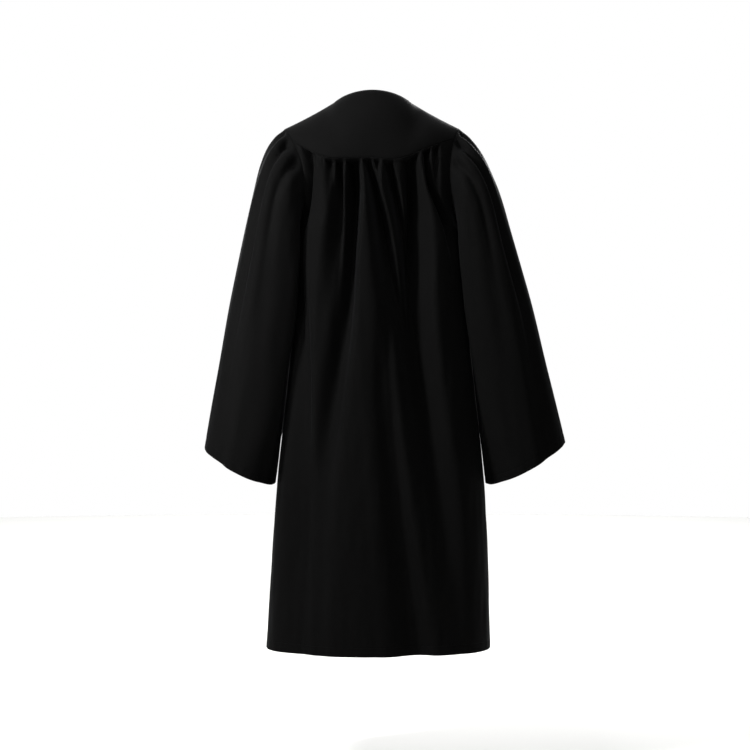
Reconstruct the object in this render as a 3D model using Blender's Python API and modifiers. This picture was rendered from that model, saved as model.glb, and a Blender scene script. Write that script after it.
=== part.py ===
"""A black graduation gown, filled out as it hangs on a wearer who isn't there.

Metres, +Z up, the gown's front towards -Y, the wearer's left towards +X. The origin is the middle of
the neck opening, level with the shoulder seams' neck ends, where the gown bears on the shoulders.

Every panel is an open sheet of points, worked out from the tables of sizes below, and a Solidify
modifier gives it the thickness of the cloth.
"""

import math
from collections import namedtuple

import bmesh
import bpy
import numpy as np
from mathutils import Matrix, Vector

# Cloth, and the gap at its seams: wider where two walls meet at a slant, and widest at the gathers
WALL = 0.0016
SEAM = 0.0004
BENT_SEAM = 0.0010
GATHERED_SEAM = 0.0011

# Neck and length, measured at the centre back
NECK_HALF_WIDTH = 0.078
NECK_BACK_DEPTH = 0.060
NECK_BACK_RISE = 0.0165
NECK_FRONT_DROP = 0.118
BACK_LENGTH = 1.220
HEM = NECK_BACK_RISE - BACK_LENGTH

# The body under the yokes, as half of a rounded ring at each height. "centre" is how far the ring's
# middle lies to the wearer's left, because the gown hangs a little to one side. Above the underarm
# the ring is cut off at the armhole, and its last stretch is drawn to the armhole's edge.
Section = namedtuple("Section", "height centre half_width back front")
BODY = (
    Section(-0.060, 0.001, 0.196, 0.090, 0.074),
    Section(-0.090, -0.001, 0.194, 0.101, 0.088),
    Section(-0.135, -0.006, 0.190, 0.112, 0.106),
    Section(-0.200, -0.011, 0.181, 0.122, 0.122),
    Section(-0.287, -0.014, 0.178, 0.131, 0.133),
    Section(-0.440, -0.0175, 0.185, 0.143, 0.140),
    Section(-0.620, -0.018, 0.204, 0.158, 0.152),
    Section(-0.840, -0.018, 0.227, 0.178, 0.170),
    Section(-1.020, -0.016, 0.238, 0.193, 0.183),
    Section(HEM, -0.0128, 0.246, 0.206, 0.196),
)
ROUNDNESS = 2.4
DRAWN_STRETCH = 0.045

# One sleeve as rings, from the armhole to the cuff: the ring's outer and inner ends, measured from
# the body's middle, its reach to the back and front, how far its middle is drawn in towards the
# body, how much lower its back and front hang than its ends, and how far its inner side laps round
# the body, clear of it, at the back and front.
Ring = namedtuple("Ring", "outer outer_height inner inner_height back front drawn_in dip lap")
SLEEVE = (
    Ring(0.192, -0.062, 0.178, -0.287, 0.074, 0.070, 0.027, 0.000, 0.000),
    Ring(0.217, -0.083, 0.183, -0.318, 0.108, 0.096, 0.014, 0.001, 0.000),
    Ring(0.245, -0.124, 0.1845, -0.365, 0.117, 0.105, 0.004, 0.002, 0.006),
    Ring(0.270, -0.190, 0.1875, -0.425, 0.119, 0.108, 0.000, 0.003, 0.014),
    Ring(0.297, -0.295, 0.194, -0.510, 0.121, 0.111, 0.000, 0.005, 0.018),
    Ring(0.330, -0.440, 0.2065, -0.615, 0.124, 0.115, 0.000, 0.007, 0.018),
    Ring(0.360, -0.605, 0.2195, -0.735, 0.127, 0.119, 0.000, 0.010, 0.018),
    Ring(0.3885, -0.766, 0.2335, -0.846, 0.129, 0.122, 0.000, 0.013, 0.006),
)
# The right sleeve swings a little further out at the cuff than the left.
RIGHT_SWING = (0.0, -0.006, -0.004, 0.018)
RIGHT_LIFT = 0.014
LAP_TURN, LAP_WIDTH = 130.0, 25.0

# The neck takes this share of the back yoke's top edge, and the shoulder seams the rest.
YOKE_NECK_SHARE = 0.42

# The back yoke's lower edge: how high it lies at each place across, from the wearer's right.
YOKE_CORNER = -0.090
YOKE_SEAM_ACROSS = (-0.179, -0.140, -0.107, -0.080, -0.044, 0.0, 0.060, 0.108, 0.140, 0.177)
YOKE_SEAM_HEIGHT = (YOKE_CORNER, -0.105, -0.118, -0.131, -0.139, -0.136, -0.136, -0.132, -0.115, YOKE_CORNER)

# Folds of the back panel, read from the photo. Each valley is a path down the cloth: how far it lies
# to the wearer's left, how deep and how wide it is at each of these heights.
LEVELS = (-0.14, -0.20, -0.26, -0.34, -0.46, -0.64, -0.88, HEM)
Fold = namedtuple("Fold", "across depth width")
BACK_FOLDS = {
    "under_left_sleeve": Fold(
        (0.130, 0.132, 0.140, 0.147, 0.150, 0.150, 0.150, 0.150),
        (0.007, 0.008, 0.007, 0.004, 0.000, 0.000, 0.000, 0.000),
        (0.006, 0.006, 0.007, 0.008, 0.010, 0.010, 0.010, 0.010),
    ),
    "short_left": Fold(
        (0.091, 0.091, 0.091, 0.091, 0.091, 0.091, 0.091, 0.091),
        (0.010, 0.004, 0.000, 0.000, 0.000, 0.000, 0.000, 0.000),
        (0.006, 0.006, 0.006, 0.008, 0.010, 0.010, 0.010, 0.010),
    ),
    "left_soft": Fold(
        (0.070, 0.074, 0.077, 0.084, 0.091, 0.098, 0.117, 0.128),
        (0.012, 0.014, 0.013, 0.010, 0.006, 0.003, 0.000, 0.000),
        (0.009, 0.010, 0.012, 0.014, 0.018, 0.022, 0.025, 0.030),
    ),
    "left_deep": Fold(
        (0.0375, 0.0375, 0.042, 0.049, 0.056, 0.077, 0.112, 0.125),
        (0.016, 0.020, 0.021, 0.021, 0.019, 0.012, 0.007, 0.004),
        (0.010, 0.011, 0.012, 0.014, 0.017, 0.021, 0.028, 0.034),
    ),
    "dart": Fold(
        (-0.012, -0.012, -0.012, -0.012, -0.012, -0.012, -0.012, -0.012),
        (0.007, 0.003, 0.000, 0.000, 0.000, 0.000, 0.000, 0.000),
        (0.005, 0.005, 0.006, 0.008, 0.010, 0.010, 0.010, 0.010),
    ),
    "middle": Fold(
        (0.008, -0.005, -0.017, -0.030, -0.050, -0.074, -0.102, -0.123),
        (0.012, 0.017, 0.019, 0.018, 0.013, 0.006, 0.000, 0.000),
        (0.008, 0.009, 0.011, 0.014, 0.018, 0.022, 0.028, 0.034),
    ),
    "right_short": Fold(
        (-0.037, -0.050, -0.063, -0.076, -0.085, -0.085, -0.085, -0.085),
        (0.011, 0.014, 0.012, 0.007, 0.000, 0.000, 0.000, 0.000),
        (0.007, 0.008, 0.009, 0.011, 0.012, 0.012, 0.012, 0.012),
    ),
    "right_deep": Fold(
        (-0.085, -0.090, -0.098, -0.098, -0.096, -0.113, -0.147, -0.178),
        (0.015, 0.019, 0.021, 0.022, 0.022, 0.018, 0.011, 0.005),
        (0.009, 0.010, 0.012, 0.015, 0.019, 0.024, 0.030, 0.036),
    ),
    "slanting": Fold(
        (-0.120, -0.132, -0.156, -0.172, -0.172, -0.172, -0.172, -0.172),
        (0.010, 0.011, 0.007, 0.000, 0.000, 0.000, 0.000, 0.000),
        (0.006, 0.007, 0.008, 0.010, 0.010, 0.010, 0.010, 0.010),
    ),
    "short_right": Fold(
        (-0.140, -0.140, -0.140, -0.140, -0.140, -0.140, -0.140, -0.140),
        (0.006, 0.002, 0.000, 0.000, 0.000, 0.000, 0.000, 0.000),
        (0.005, 0.006, 0.008, 0.010, 0.010, 0.010, 0.010, 0.010),
    ),
    "low_diagonal": Fold(
        (-0.012, -0.016, -0.018, -0.020, -0.025, -0.033, -0.057, -0.100),
        (0.000, 0.000, 0.000, 0.001, 0.003, 0.006, 0.009, 0.015),
        (0.014, 0.014, 0.014, 0.014, 0.016, 0.020, 0.026, 0.034),
    ),
    "low_left": Fold(
        (0.143, 0.143, 0.143, 0.143, 0.143, 0.147, 0.155, 0.165),
        (0.000, 0.000, 0.000, 0.000, 0.003, 0.007, 0.009, 0.007),
        (0.014, 0.014, 0.014, 0.016, 0.018, 0.022, 0.028, 0.034),
    ),
}
# The ridges between the valleys stand this far proud of the yoke's line, from just below the seam.
PUFF = (0.004, 0.007, 0.008, 0.008, 0.007, 0.006, 0.005, 0.004)

# Gathers of one front: how far each lies across the panel, from the zip to the side.
FRONT_GATHERS = (6 / 22, 9 / 22, 11 / 22, 14 / 22)
FRONT_DEPTH = (0.007, 0.010, 0.010, 0.009, 0.007, 0.006, 0.007, 0.009)
FRONT_WIDTH = (0.007, 0.008, 0.009, 0.010, 0.013, 0.018, 0.024, 0.030)

# Folds of the sleeves: place round the ring in degrees (0 outer, 90 back, 180 inner, 270 front), at
# the head, at mid length and at the cuff, the depths there, and the half width in degrees.
SleeveFold = namedtuple("SleeveFold", "place depth width")
SLEEVE_FOLDS = (
    SleeveFold((44, 46, 52), (0.007, 0.007, 0.000), (9, 10, 12)),
    SleeveFold((20, 18, 16), (0.006, 0.000, 0.000), (8, 8, 8)),
    SleeveFold((70, 84, 100), (0.005, 0.003, 0.000), (8, 10, 12)),
    SleeveFold((120, 124, 128), (0.000, 0.003, 0.008), (12, 14, 16)),
    SleeveFold((60, 62, 66), (0.000, 0.000, 0.006), (10, 12, 13)),
    SleeveFold((316, 314, 308), (0.006, 0.008, 0.003), (10, 12, 14)),
    SleeveFold((288, 276, 262), (0.005, 0.005, 0.005), (9, 12, 14)),
    SleeveFold((240, 238, 232), (0.000, 0.004, 0.007), (12, 14, 16)),
)

# The zip: a closed chain between the front edges, its slider parked near the neck, and its pull tab.
CHAIN_WIDTH, CHAIN_THICKNESS = 0.0060, 0.0020
SLIDER_MIDDLE = -0.136
SLIDER_WIDTH, SLIDER_HEIGHT, SLIDER_THICKNESS = 0.0090, 0.0150, 0.0018
SLIDER_CLEAR = 0.0004
BRIDGE_WIDTH, BRIDGE_HEIGHT, BRIDGE_BAR = 0.0024, 0.0090, 0.0014
WINDOW = 0.0022
TAB_WIDTH, TAB_LENGTH, TAB_THICKNESS = 0.0062, 0.0300, 0.0012
TAB_EYE_WIDTH, TAB_EYE_HEIGHT = 0.0034, 0.0050

# How finely each piece is divided. The panels' rows and the sleeves' columns meet at the same points
# of the armhole, given here in degrees from the shoulder, round the back or front, to the underarm.
BACK_COLUMNS, FRONT_COLUMNS = 80, 22
YOKE_COLUMNS, FRONT_YOKE_COLUMNS, YOKE_ROWS = 40, 12, 5
PANEL_TURNS = (46, 54, 64, 76, 90, 104, 118, 132, 147, 163, 180)
LOWER_ROWS = (-0.325, -0.375, -0.440, -0.530, -0.640, -0.800, -0.975, -0.987, -1.090, HEM)
ZIP_LAST_ROW = 18
SLEEVE_ROWS = 12

BLACK_CLOTH = ("black_cloth", (0.012, 0.012, 0.013), 0.75, 0.0)
BLACK_NYLON = ("black_nylon", (0.015, 0.015, 0.016), 0.45, 0.0)
BLACK_ENAMEL = ("black_enamel", (0.02, 0.02, 0.02), 0.3, 0.6)


def through(x, knots, values):
    """A smooth curve through the values at rising knots, read at x."""
    knots, values = np.asarray(knots, float), np.asarray(values, float)
    slopes = np.gradient(values, knots)
    i = np.clip(np.searchsorted(knots, x) - 1, 0, len(knots) - 2)
    span = knots[i + 1] - knots[i]
    t = np.clip((x - knots[i]) / span, 0.0, 1.0)
    rise = values[i + 1] - values[i]
    start, end = slopes[i] * span, slopes[i + 1] * span
    return values[i] + t * (start + t * (3 * rise - 2 * start - end + t * (start + end - 2 * rise)))


def down(heights, levels, values):
    """The same, for a table whose heights run downwards."""
    return through(-np.asarray(heights, float), -np.asarray(levels, float), values)


def ease(x):
    """0 to 1, with no slope at either end."""
    t = np.clip(x, 0.0, 1.0)
    return t * t * (3 - 2 * t)


def body_size(column, z):
    return down(z, [row.height for row in BODY], [getattr(row, column) for row in BODY])


def sleeve_size(column, t):
    places = np.linspace(0.0, 1.0, len(SLEEVE))
    return through(t, places, [getattr(row, column) for row in SLEEVE])


def armhole_edge(z, face):
    """Where the armhole's loop crosses a height: its distance from the body's middle, and its y."""
    ring = SLEEVE[0]
    middle = (ring.outer_height + ring.inner_height) / 2
    cosine = np.clip((z - middle) / (ring.outer_height - middle), -1.0, 1.0)
    sine = np.sqrt(1 - cosine**2)
    across = (ring.outer + ring.inner) / 2 + (ring.outer - ring.inner) / 2 * cosine
    depth = ring.back if face > 0 else ring.front
    return across - ring.drawn_in * sine**2, depth * sine


def half_ring(z, face):
    """The body's half width and depth at a height, and the angle at which the panel ends there."""
    width, depth = body_size("half_width", z), body_size("back" if face > 0 else "front", z)
    across, y = armhole_edge(z, face)
    end = np.where(z > SLEEVE[0].inner_height, np.arctan2(across, y), math.pi / 2)
    return width, depth, end


def ring_radius(angle, width, depth):
    wide, deep = np.abs(np.sin(angle)) / width, np.abs(np.cos(angle)) / depth
    return (wide**ROUNDNESS + deep**ROUNDNESS) ** (-1 / ROUNDNESS)


def drawn_to_armhole(angle, z, face):
    """How much the ring's radius changes next to the armhole, so that the panel ends on its loop."""
    width, depth, end = half_ring(z, face)
    at_end = ring_radius(end, width, depth)
    reach = np.where(z > SLEEVE[0].inner_height, np.hypot(*armhole_edge(z, face)), width)
    return 1 + (reach / at_end - 1) * ease(1 - (end - np.abs(angle)) * at_end / DRAWN_STRETCH)


def on_ring(angle, z, face):
    """A point of the body's ring, with its outward normal. The angle is from the centre back or
    front, towards the wearer's left where it is positive."""
    width, depth, _ = half_ring(z, face)
    sine, cosine = np.sin(angle), np.cos(angle)
    wide, deep = np.abs(sine) / width, np.abs(cosine) / depth
    radius = ring_radius(angle, width, depth) * drawn_to_armhole(angle, z, face)
    slope_x = np.sign(sine) * wide ** (ROUNDNESS - 1) / width
    slope_y = deep ** (ROUNDNESS - 1) / depth
    length = np.hypot(slope_x, slope_y)
    x = body_size("centre", z) + radius * sine
    return x, face * radius * cosine, slope_x / length, face * slope_y / length, radius


def angle_at(across, z, face):
    """The angle of the ring's point that lies this far to the wearer's left."""
    width, depth, _ = half_ring(z, face)
    x = np.clip((across - body_size("centre", z)) / width, -0.97, 0.97)
    y = (1 - np.abs(x) ** ROUNDNESS) ** (1 / ROUNDNESS)
    return np.arctan2(x * width, y * depth)


def fold_depth(angle, z, radius, fold, face):
    """How deep one valley is at each point."""
    middle = angle_at(down(z, LEVELS, fold.across), z, face)
    off = (angle - middle) * radius / down(z, LEVELS, fold.width)
    return np.maximum(down(z, LEVELS, fold.depth), 0.0) * np.exp(-(off**2))


def body_sheet(angles, heights, face, folds):
    """A body panel's points: the plain ring, moved in at the valleys and out at the ridges."""
    x, y, normal_x, normal_y, radius = on_ring(angles, heights, face)
    valleys = sum(folds(angles, heights, radius))
    _, _, end = half_ring(heights, face)
    from_edge = (end - np.abs(angles)) * radius
    inside = ease(from_edge / 0.028) * ease((heights[0][None, :] - heights) / 0.022)
    offset = inside * (down(heights, LEVELS, PUFF) * ease(from_edge / 0.10) - valleys)
    return np.stack([x + offset * normal_x, y + offset * normal_y, heights], axis=-1)


def armhole_turn(height):
    """The turn, round the armhole's loop, at which it crosses a height."""
    ring = SLEEVE[0]
    middle = (ring.outer_height + ring.inner_height) / 2
    return math.acos((height - middle) / (ring.outer_height - middle))


def panel_rows():
    """How far down the panel each row of points is, as a share: the rows' ends at the armhole and
    side seam are the heights that the sleeve's columns and the other panel's rows have."""
    ring = SLEEVE[0]
    middle, half = (ring.outer_height + ring.inner_height) / 2, (ring.outer_height - ring.inner_height) / 2
    by_armhole = middle + half * np.cos(np.radians(PANEL_TURNS))
    heights = np.concatenate([[YOKE_CORNER], by_armhole, LOWER_ROWS])
    return ((heights - YOKE_CORNER) / (HEM - YOKE_CORNER))[:, None]


def spread(share, end):
    """The angles of a panel's columns: even at the middle, and closer together at the armhole."""
    return math.pi / 2 * share - (math.pi / 2 - end) * share**2.5


def front_gathers(z, side):
    """The angles of one front's gathers at each height. They keep to the cloth's own threads, so they
    fan out as the panel widens."""
    for share in FRONT_GATHERS:
        yield side * spread(share, half_ring(z, -1)[2])


def panel_sheet(share, seam, face, first_edge, folds, side):
    """A body panel: columns at equal shares of its width, from the seam's heights to the hem."""
    heights = seam + (HEM - seam) * panel_rows()
    _, depth, end = half_ring(heights, face)
    edge_gap = SEAM / 2 / depth * np.abs(share)
    angles = spread(np.abs(share), end) - edge_gap + first_edge / depth * (1 - np.abs(share))
    return body_sheet(side * angles, heights, face, folds)


def back_seam(share):
    """The angle and height of the back yoke's seam at each share of its half width."""
    height = np.full_like(share, YOKE_CORNER)
    for _ in range(8):
        _, depth, end = half_ring(height, 1)
        angle = np.sign(share) * spread(np.abs(share), end) - share * SEAM / 2 / depth
        height = through(on_ring(angle, height, 1)[0], YOKE_SEAM_ACROSS, YOKE_SEAM_HEIGHT)
    return angle, height


def back_sheet():
    share = np.linspace(-1.0, 1.0, BACK_COLUMNS + 1)
    angle, seam = back_seam(share)
    seam = seam - GATHERED_SEAM

    def folds(angle, z, radius):
        return [fold_depth(angle, z, radius, fold, 1) for fold in BACK_FOLDS.values()]

    return panel_sheet(share, seam, 1, 0.0, folds, np.sign(share))


def neckline_height(across):
    """How high the front's neckline is, at a distance from the centre front."""
    share = np.clip(across / NECK_HALF_WIDTH, 0.0, 1.0)
    return -NECK_FRONT_DROP * (1 - share**1.6) ** 0.8


def neckline_corner():
    """How far from the centre front the neckline meets the front yoke's seam."""
    across = np.linspace(0.0, NECK_HALF_WIDTH, 400)
    return float(np.interp(YOKE_CORNER, neckline_height(across), across))


def front_sheet(side):
    share = np.linspace(0.0, 1.0, FRONT_COLUMNS + 1)
    corner = armhole_edge(YOKE_CORNER, -1)[0]
    across = share * corner
    seam = np.where(across < neckline_corner(), neckline_height(across), YOKE_CORNER) - BENT_SEAM
    beside_zip = np.full((len(panel_rows()), 1), CHAIN_WIDTH / 2 + SEAM)
    beside_zip[ZIP_LAST_ROW + 1 :] = SEAM / 2

    def folds(angle, z, radius):
        depth, width = down(z, LEVELS, FRONT_DEPTH), down(z, LEVELS, FRONT_WIDTH)
        for middle in front_gathers(z, side):
            yield depth * np.exp(-(((angle - middle) * radius / width) ** 2))

    return panel_sheet(share, seam, -1, beside_zip, folds, side)


def sleeve_ring(turn, t, side):
    """A point of the sleeve before its folds: the turn is 0 outside, a quarter at the back."""
    cosine, sine = np.cos(turn), np.sin(turn)
    outer, inner = sleeve_size("outer", t), sleeve_size("inner", t)
    high, low = sleeve_size("outer_height", t), sleeve_size("inner_height", t)
    if side < 0:
        outer = outer + through(t, (0.0, 0.3, 0.65, 1.0), RIGHT_SWING)
        high = high + RIGHT_LIFT * t**2
    across = (outer + inner) / 2 + (outer - inner) / 2 * cosine
    across = across - sleeve_size("drawn_in", t) * sine**2
    from_inner = np.abs(np.degrees(turn) - 180)
    across = across - sleeve_size("lap", t) * np.exp(-(((from_inner - 180 + LAP_TURN) / LAP_WIDTH) ** 2))
    depth = np.where(sine > 0, sleeve_size("back", t), sleeve_size("front", t))
    z = (high + low) / 2 + (high - low) / 2 * cosine - sleeve_size("dip", t) * sine**2
    x = body_size("centre", z) + side * across
    return np.stack([x, depth * sine, z], axis=-1)


def sleeve_turns():
    """The turns of the sleeve's columns, once round from the shoulder."""
    by_yoke = np.linspace(0.0, armhole_turn(YOKE_CORNER), YOKE_ROWS + 1)
    back = np.concatenate([by_yoke, np.radians(PANEL_TURNS)])
    return np.concatenate([back, 2 * math.pi - back[-2:0:-1]])


def unit(v):
    return v / np.linalg.norm(v, axis=-1, keepdims=True)


def armhole_gap(edge, inside, ring, side):
    """How far the sleeve's first row stands off the armhole, so that its wall clears the body's wall
    at whatever angle the two meet there."""
    along = unit(np.roll(edge, -1, axis=0) - np.roll(edge, 1, axis=0))
    onward = edge - inside
    onward = unit(onward - (onward * along).sum(-1, keepdims=True) * along)
    outward = unit(side * np.cross(onward, along))
    leaving = ring - edge
    leaving = unit(leaving - (leaving * along).sum(-1, keepdims=True) * along)
    forward, up = (leaving * onward).sum(-1, keepdims=True), (leaving * outward).sum(-1, keepdims=True)
    straight = leaving * (SEAM + WALL / 2 * np.abs(up))
    folded = outward * (BENT_SEAM + WALL / 2 * (1 - forward))
    return np.where(forward > 0, straight, folded)


def around_armhole(side, pieces, inwards):
    """The pieces' edges at one armhole as a loop in the order of the sleeve's turns, or with inwards
    1 the points next to those edges."""
    back, front, yoke_back, yoke_front = pieces
    back_column = -1 - inwards if side > 0 else inwards
    front_column = -1 - inwards
    end = len(PANEL_TURNS)
    behind = np.concatenate([yoke_back[:, back_column], back[1:end, back_column]])
    before = np.concatenate([yoke_front[:, front_column], front[1:end, front_column]])
    shoulder = (behind[:1] + before[:1]) / 2
    underarm = front[end + inwards, -1:]
    return np.concatenate([shoulder, behind[1:], underarm, before[:0:-1]])


def sleeve_sheet(side, pieces):
    turn = sleeve_turns()[None, :]
    t = (0.55 * np.linspace(0, 1, SLEEVE_ROWS + 1) + 0.45 * np.linspace(0, 1, SLEEVE_ROWS + 1) ** 1.8)[:, None]
    turn, t = np.broadcast_arrays(turn, t)
    points = sleeve_ring(turn, t, side)
    step = 1e-4
    along = sleeve_ring(turn, np.minimum(t + step, 1), side) - sleeve_ring(turn, np.maximum(t - step, 0), side)
    about = sleeve_ring(turn + step, t, side) - sleeve_ring(turn - step, t, side)
    outward = unit(side * np.cross(along, about))
    depth = np.zeros_like(t)
    for fold in SLEEVE_FOLDS:
        place = through(t, (0.0, 0.5, 1.0), fold.place)
        off = (np.degrees(turn) - place + 180) % 360 - 180
        width = through(t, (0.0, 0.5, 1.0), fold.width)
        depth = depth + np.maximum(through(t, (0.0, 0.5, 1.0), fold.depth), 0) * np.exp(-((off / width) ** 2))
    points = points - outward * (depth * ease(t / 0.08))[..., None]
    gap = armhole_gap(around_armhole(side, pieces, 0), around_armhole(side, pieces, 1), points[1], side)
    return points + gap[None] * (1 - t)[..., None]


def bezier(start, first, second, end, t):
    return (
        (1 - t) ** 3 * start
        + 3 * (1 - t) ** 2 * t * first
        + 3 * (1 - t) * t**2 * second
        + t**3 * end
    )


def shoulder_line(share, side, face):
    """Along the shoulder seam from the neck, share 0, to the armhole, share 1."""
    tip = sleeve_ring(np.array(0.0), np.array(0.0), side)
    x = side * NECK_HALF_WIDTH + (tip[0] - side * SEAM / 2 - side * NECK_HALF_WIDTH) * share
    z = tip[2] * (share + 0.16 * share * (1 - share))
    return np.stack([x, np.full_like(x, face * BENT_SEAM / 2), z], axis=-1)


def yoke_fall(top, bottom, leave, arrive, sides):
    """A yoke's rows: each column leaves its top edge in one direction and arrives at the seam in
    another. The columns at the armhole follow its loop."""
    t = np.linspace(0.0, 1.0, YOKE_ROWS + 1)[:, None, None]
    length = np.linalg.norm(bottom - top, axis=-1, keepdims=True)
    first = top + leave * length * 0.36
    second = bottom - arrive * length * 0.30
    rows = bezier(top[None], first[None], second[None], bottom[None], t)
    for column, loop, near in sides:
        off = loop - rows[:, column]
        rows = rows + off[:, None, :] * near[None, :, None]
    return rows


def armhole_run(side, face):
    """The armhole beside a yoke, from the shoulder seam to the yoke's own."""
    turn = face * np.linspace(0.0, armhole_turn(YOKE_CORNER), YOKE_ROWS + 1)
    loop = sleeve_ring(turn, np.zeros_like(turn), side)
    loop[:, 0] -= side * SEAM / 2
    loop[0, 1] = face * BENT_SEAM / 2
    return loop


def back_yoke_sheet():
    share = np.linspace(-1.0, 1.0, YOKE_COLUMNS + 1)
    angle, seam = back_seam(share)
    x, y, *_ = on_ring(angle, seam, 1)
    bottom = np.stack([x, y, seam], axis=-1)
    top, leave = np.zeros_like(bottom), np.zeros_like(bottom)
    for i, s in enumerate(share):
        side = math.copysign(1, s)
        if abs(s) <= YOKE_NECK_SHARE:
            about = math.pi / 2 * s / YOKE_NECK_SHARE
            top[i] = (
                NECK_HALF_WIDTH * math.sin(about),
                BENT_SEAM / 2 + NECK_BACK_DEPTH * math.cos(about),
                NECK_BACK_RISE * math.cos(about) ** 2,
            )
            aside = about / 2
            falls = 0.95 - 0.53 * math.sin(about) ** 2
        else:
            out = (abs(s) - YOKE_NECK_SHARE) / (1 - YOKE_NECK_SHARE)
            top[i] = shoulder_line(out, side, 1)
            aside = side * math.pi / 4 * (1 - ease(out / 0.7))
            falls = 0.6 * abs(math.sin(aside))
        leave[i] = (math.sin(aside), math.cos(aside), -falls)
    near = ease((np.abs(share) - YOKE_NECK_SHARE) / (1 - YOKE_NECK_SHARE)) ** 2
    sides = [
        (-1, armhole_run(1, 1), near * (share > 0)),
        (0, armhole_run(-1, 1), near * (share < 0)),
    ]
    straight_down = np.tile((0.0, 0.0, -1.0), (len(share), 1))
    return yoke_fall(top, bottom, unit(leave), straight_down, sides)


def front_yoke_sheet(side):
    share = np.linspace(0.0, 1.0, FRONT_YOKE_COLUMNS + 1)
    height = np.array(YOKE_CORNER)
    _, depth, end = half_ring(height, -1)
    first = angle_at(body_size("centre", height) + neckline_corner(), height, -1)
    angle = side * (first + (end - SEAM / 2 / depth - first) * share)
    x, y, *_ = on_ring(angle, height, -1)
    bottom = np.stack([x, y, np.full_like(x, YOKE_CORNER)], axis=-1)
    top = shoulder_line(share, side, -1)
    inner = 1 - ease(share / 0.5)
    leave = np.stack([-side * 0.15 * inner, np.full_like(share, -1.0), 0.09 * inner], axis=-1)
    arrive = np.stack([-side * 0.75 * inner, np.zeros_like(share), np.full_like(share, -1.0)], axis=-1)
    sides = [(-1, armhole_run(side, -1), ease(share) ** 2)]
    return yoke_fall(top, bottom, unit(leave), unit(arrive), sides)


def material(name, colour, roughness, metallic):
    made = bpy.data.materials.get(name)
    if made is None:
        made = bpy.data.materials.new(name)
        made.use_nodes = True
        shader = made.node_tree.nodes["Principled BSDF"]
        shader.inputs["Base Color"].default_value = (*colour, 1.0)
        shader.inputs["Roughness"].default_value = roughness
        shader.inputs["Metallic"].default_value = metallic
    return made


def add_mesh(name, mesh, finish):
    made = bpy.data.objects.new(name, mesh)
    mesh.materials.append(material(*finish))
    gown.objects.link(made)
    return made


def add_cloth(name, points, finish=BLACK_CLOTH, thickness=WALL, closed=False):
    """A sheet of rows and columns of points, given the cloth's thickness."""
    rows, columns = points.shape[:2]
    faces = []
    for r in range(rows - 1):
        for c in range(columns if closed else columns - 1):
            after = (c + 1) % columns
            faces.append(
                (r * columns + c, r * columns + after, (r + 1) * columns + after, (r + 1) * columns + c)
            )
    mesh = bpy.data.meshes.new(name)
    mesh.from_pydata(points.reshape(-1, 3).tolist(), [], faces)
    mesh.shade_smooth()
    made = add_mesh(name, mesh, finish)
    wall = made.modifiers.new("wall", "SOLIDIFY")
    wall.thickness = thickness
    wall.offset = 0.0
    return made


def box_mesh(name, size, middle, rounding=0.0):
    mesh = bpy.data.meshes.new(name)
    shape = bmesh.new()
    bmesh.ops.create_cube(shape, size=1.0)
    bmesh.ops.scale(shape, vec=Vector(size), verts=shape.verts)
    if rounding:
        bmesh.ops.bevel(shape, geom=shape.edges[:], offset=rounding, segments=2, profile=0.5, affect="EDGES")
    bmesh.ops.translate(shape, vec=Vector(middle), verts=shape.verts)
    shape.to_mesh(mesh)
    shape.free()
    return mesh


def add_cutter(name, mesh, place):
    made = bpy.data.objects.new(name, mesh)
    made.matrix_world = place
    made.hide_render = True
    made.display_type = "WIRE"
    cutters.objects.link(made)
    return made


def combine(target, other, operation):
    change = target.modifiers.new(other.name, "BOOLEAN")
    change.operation = operation
    change.object = other
    change.solver = "EXACT"


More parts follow.
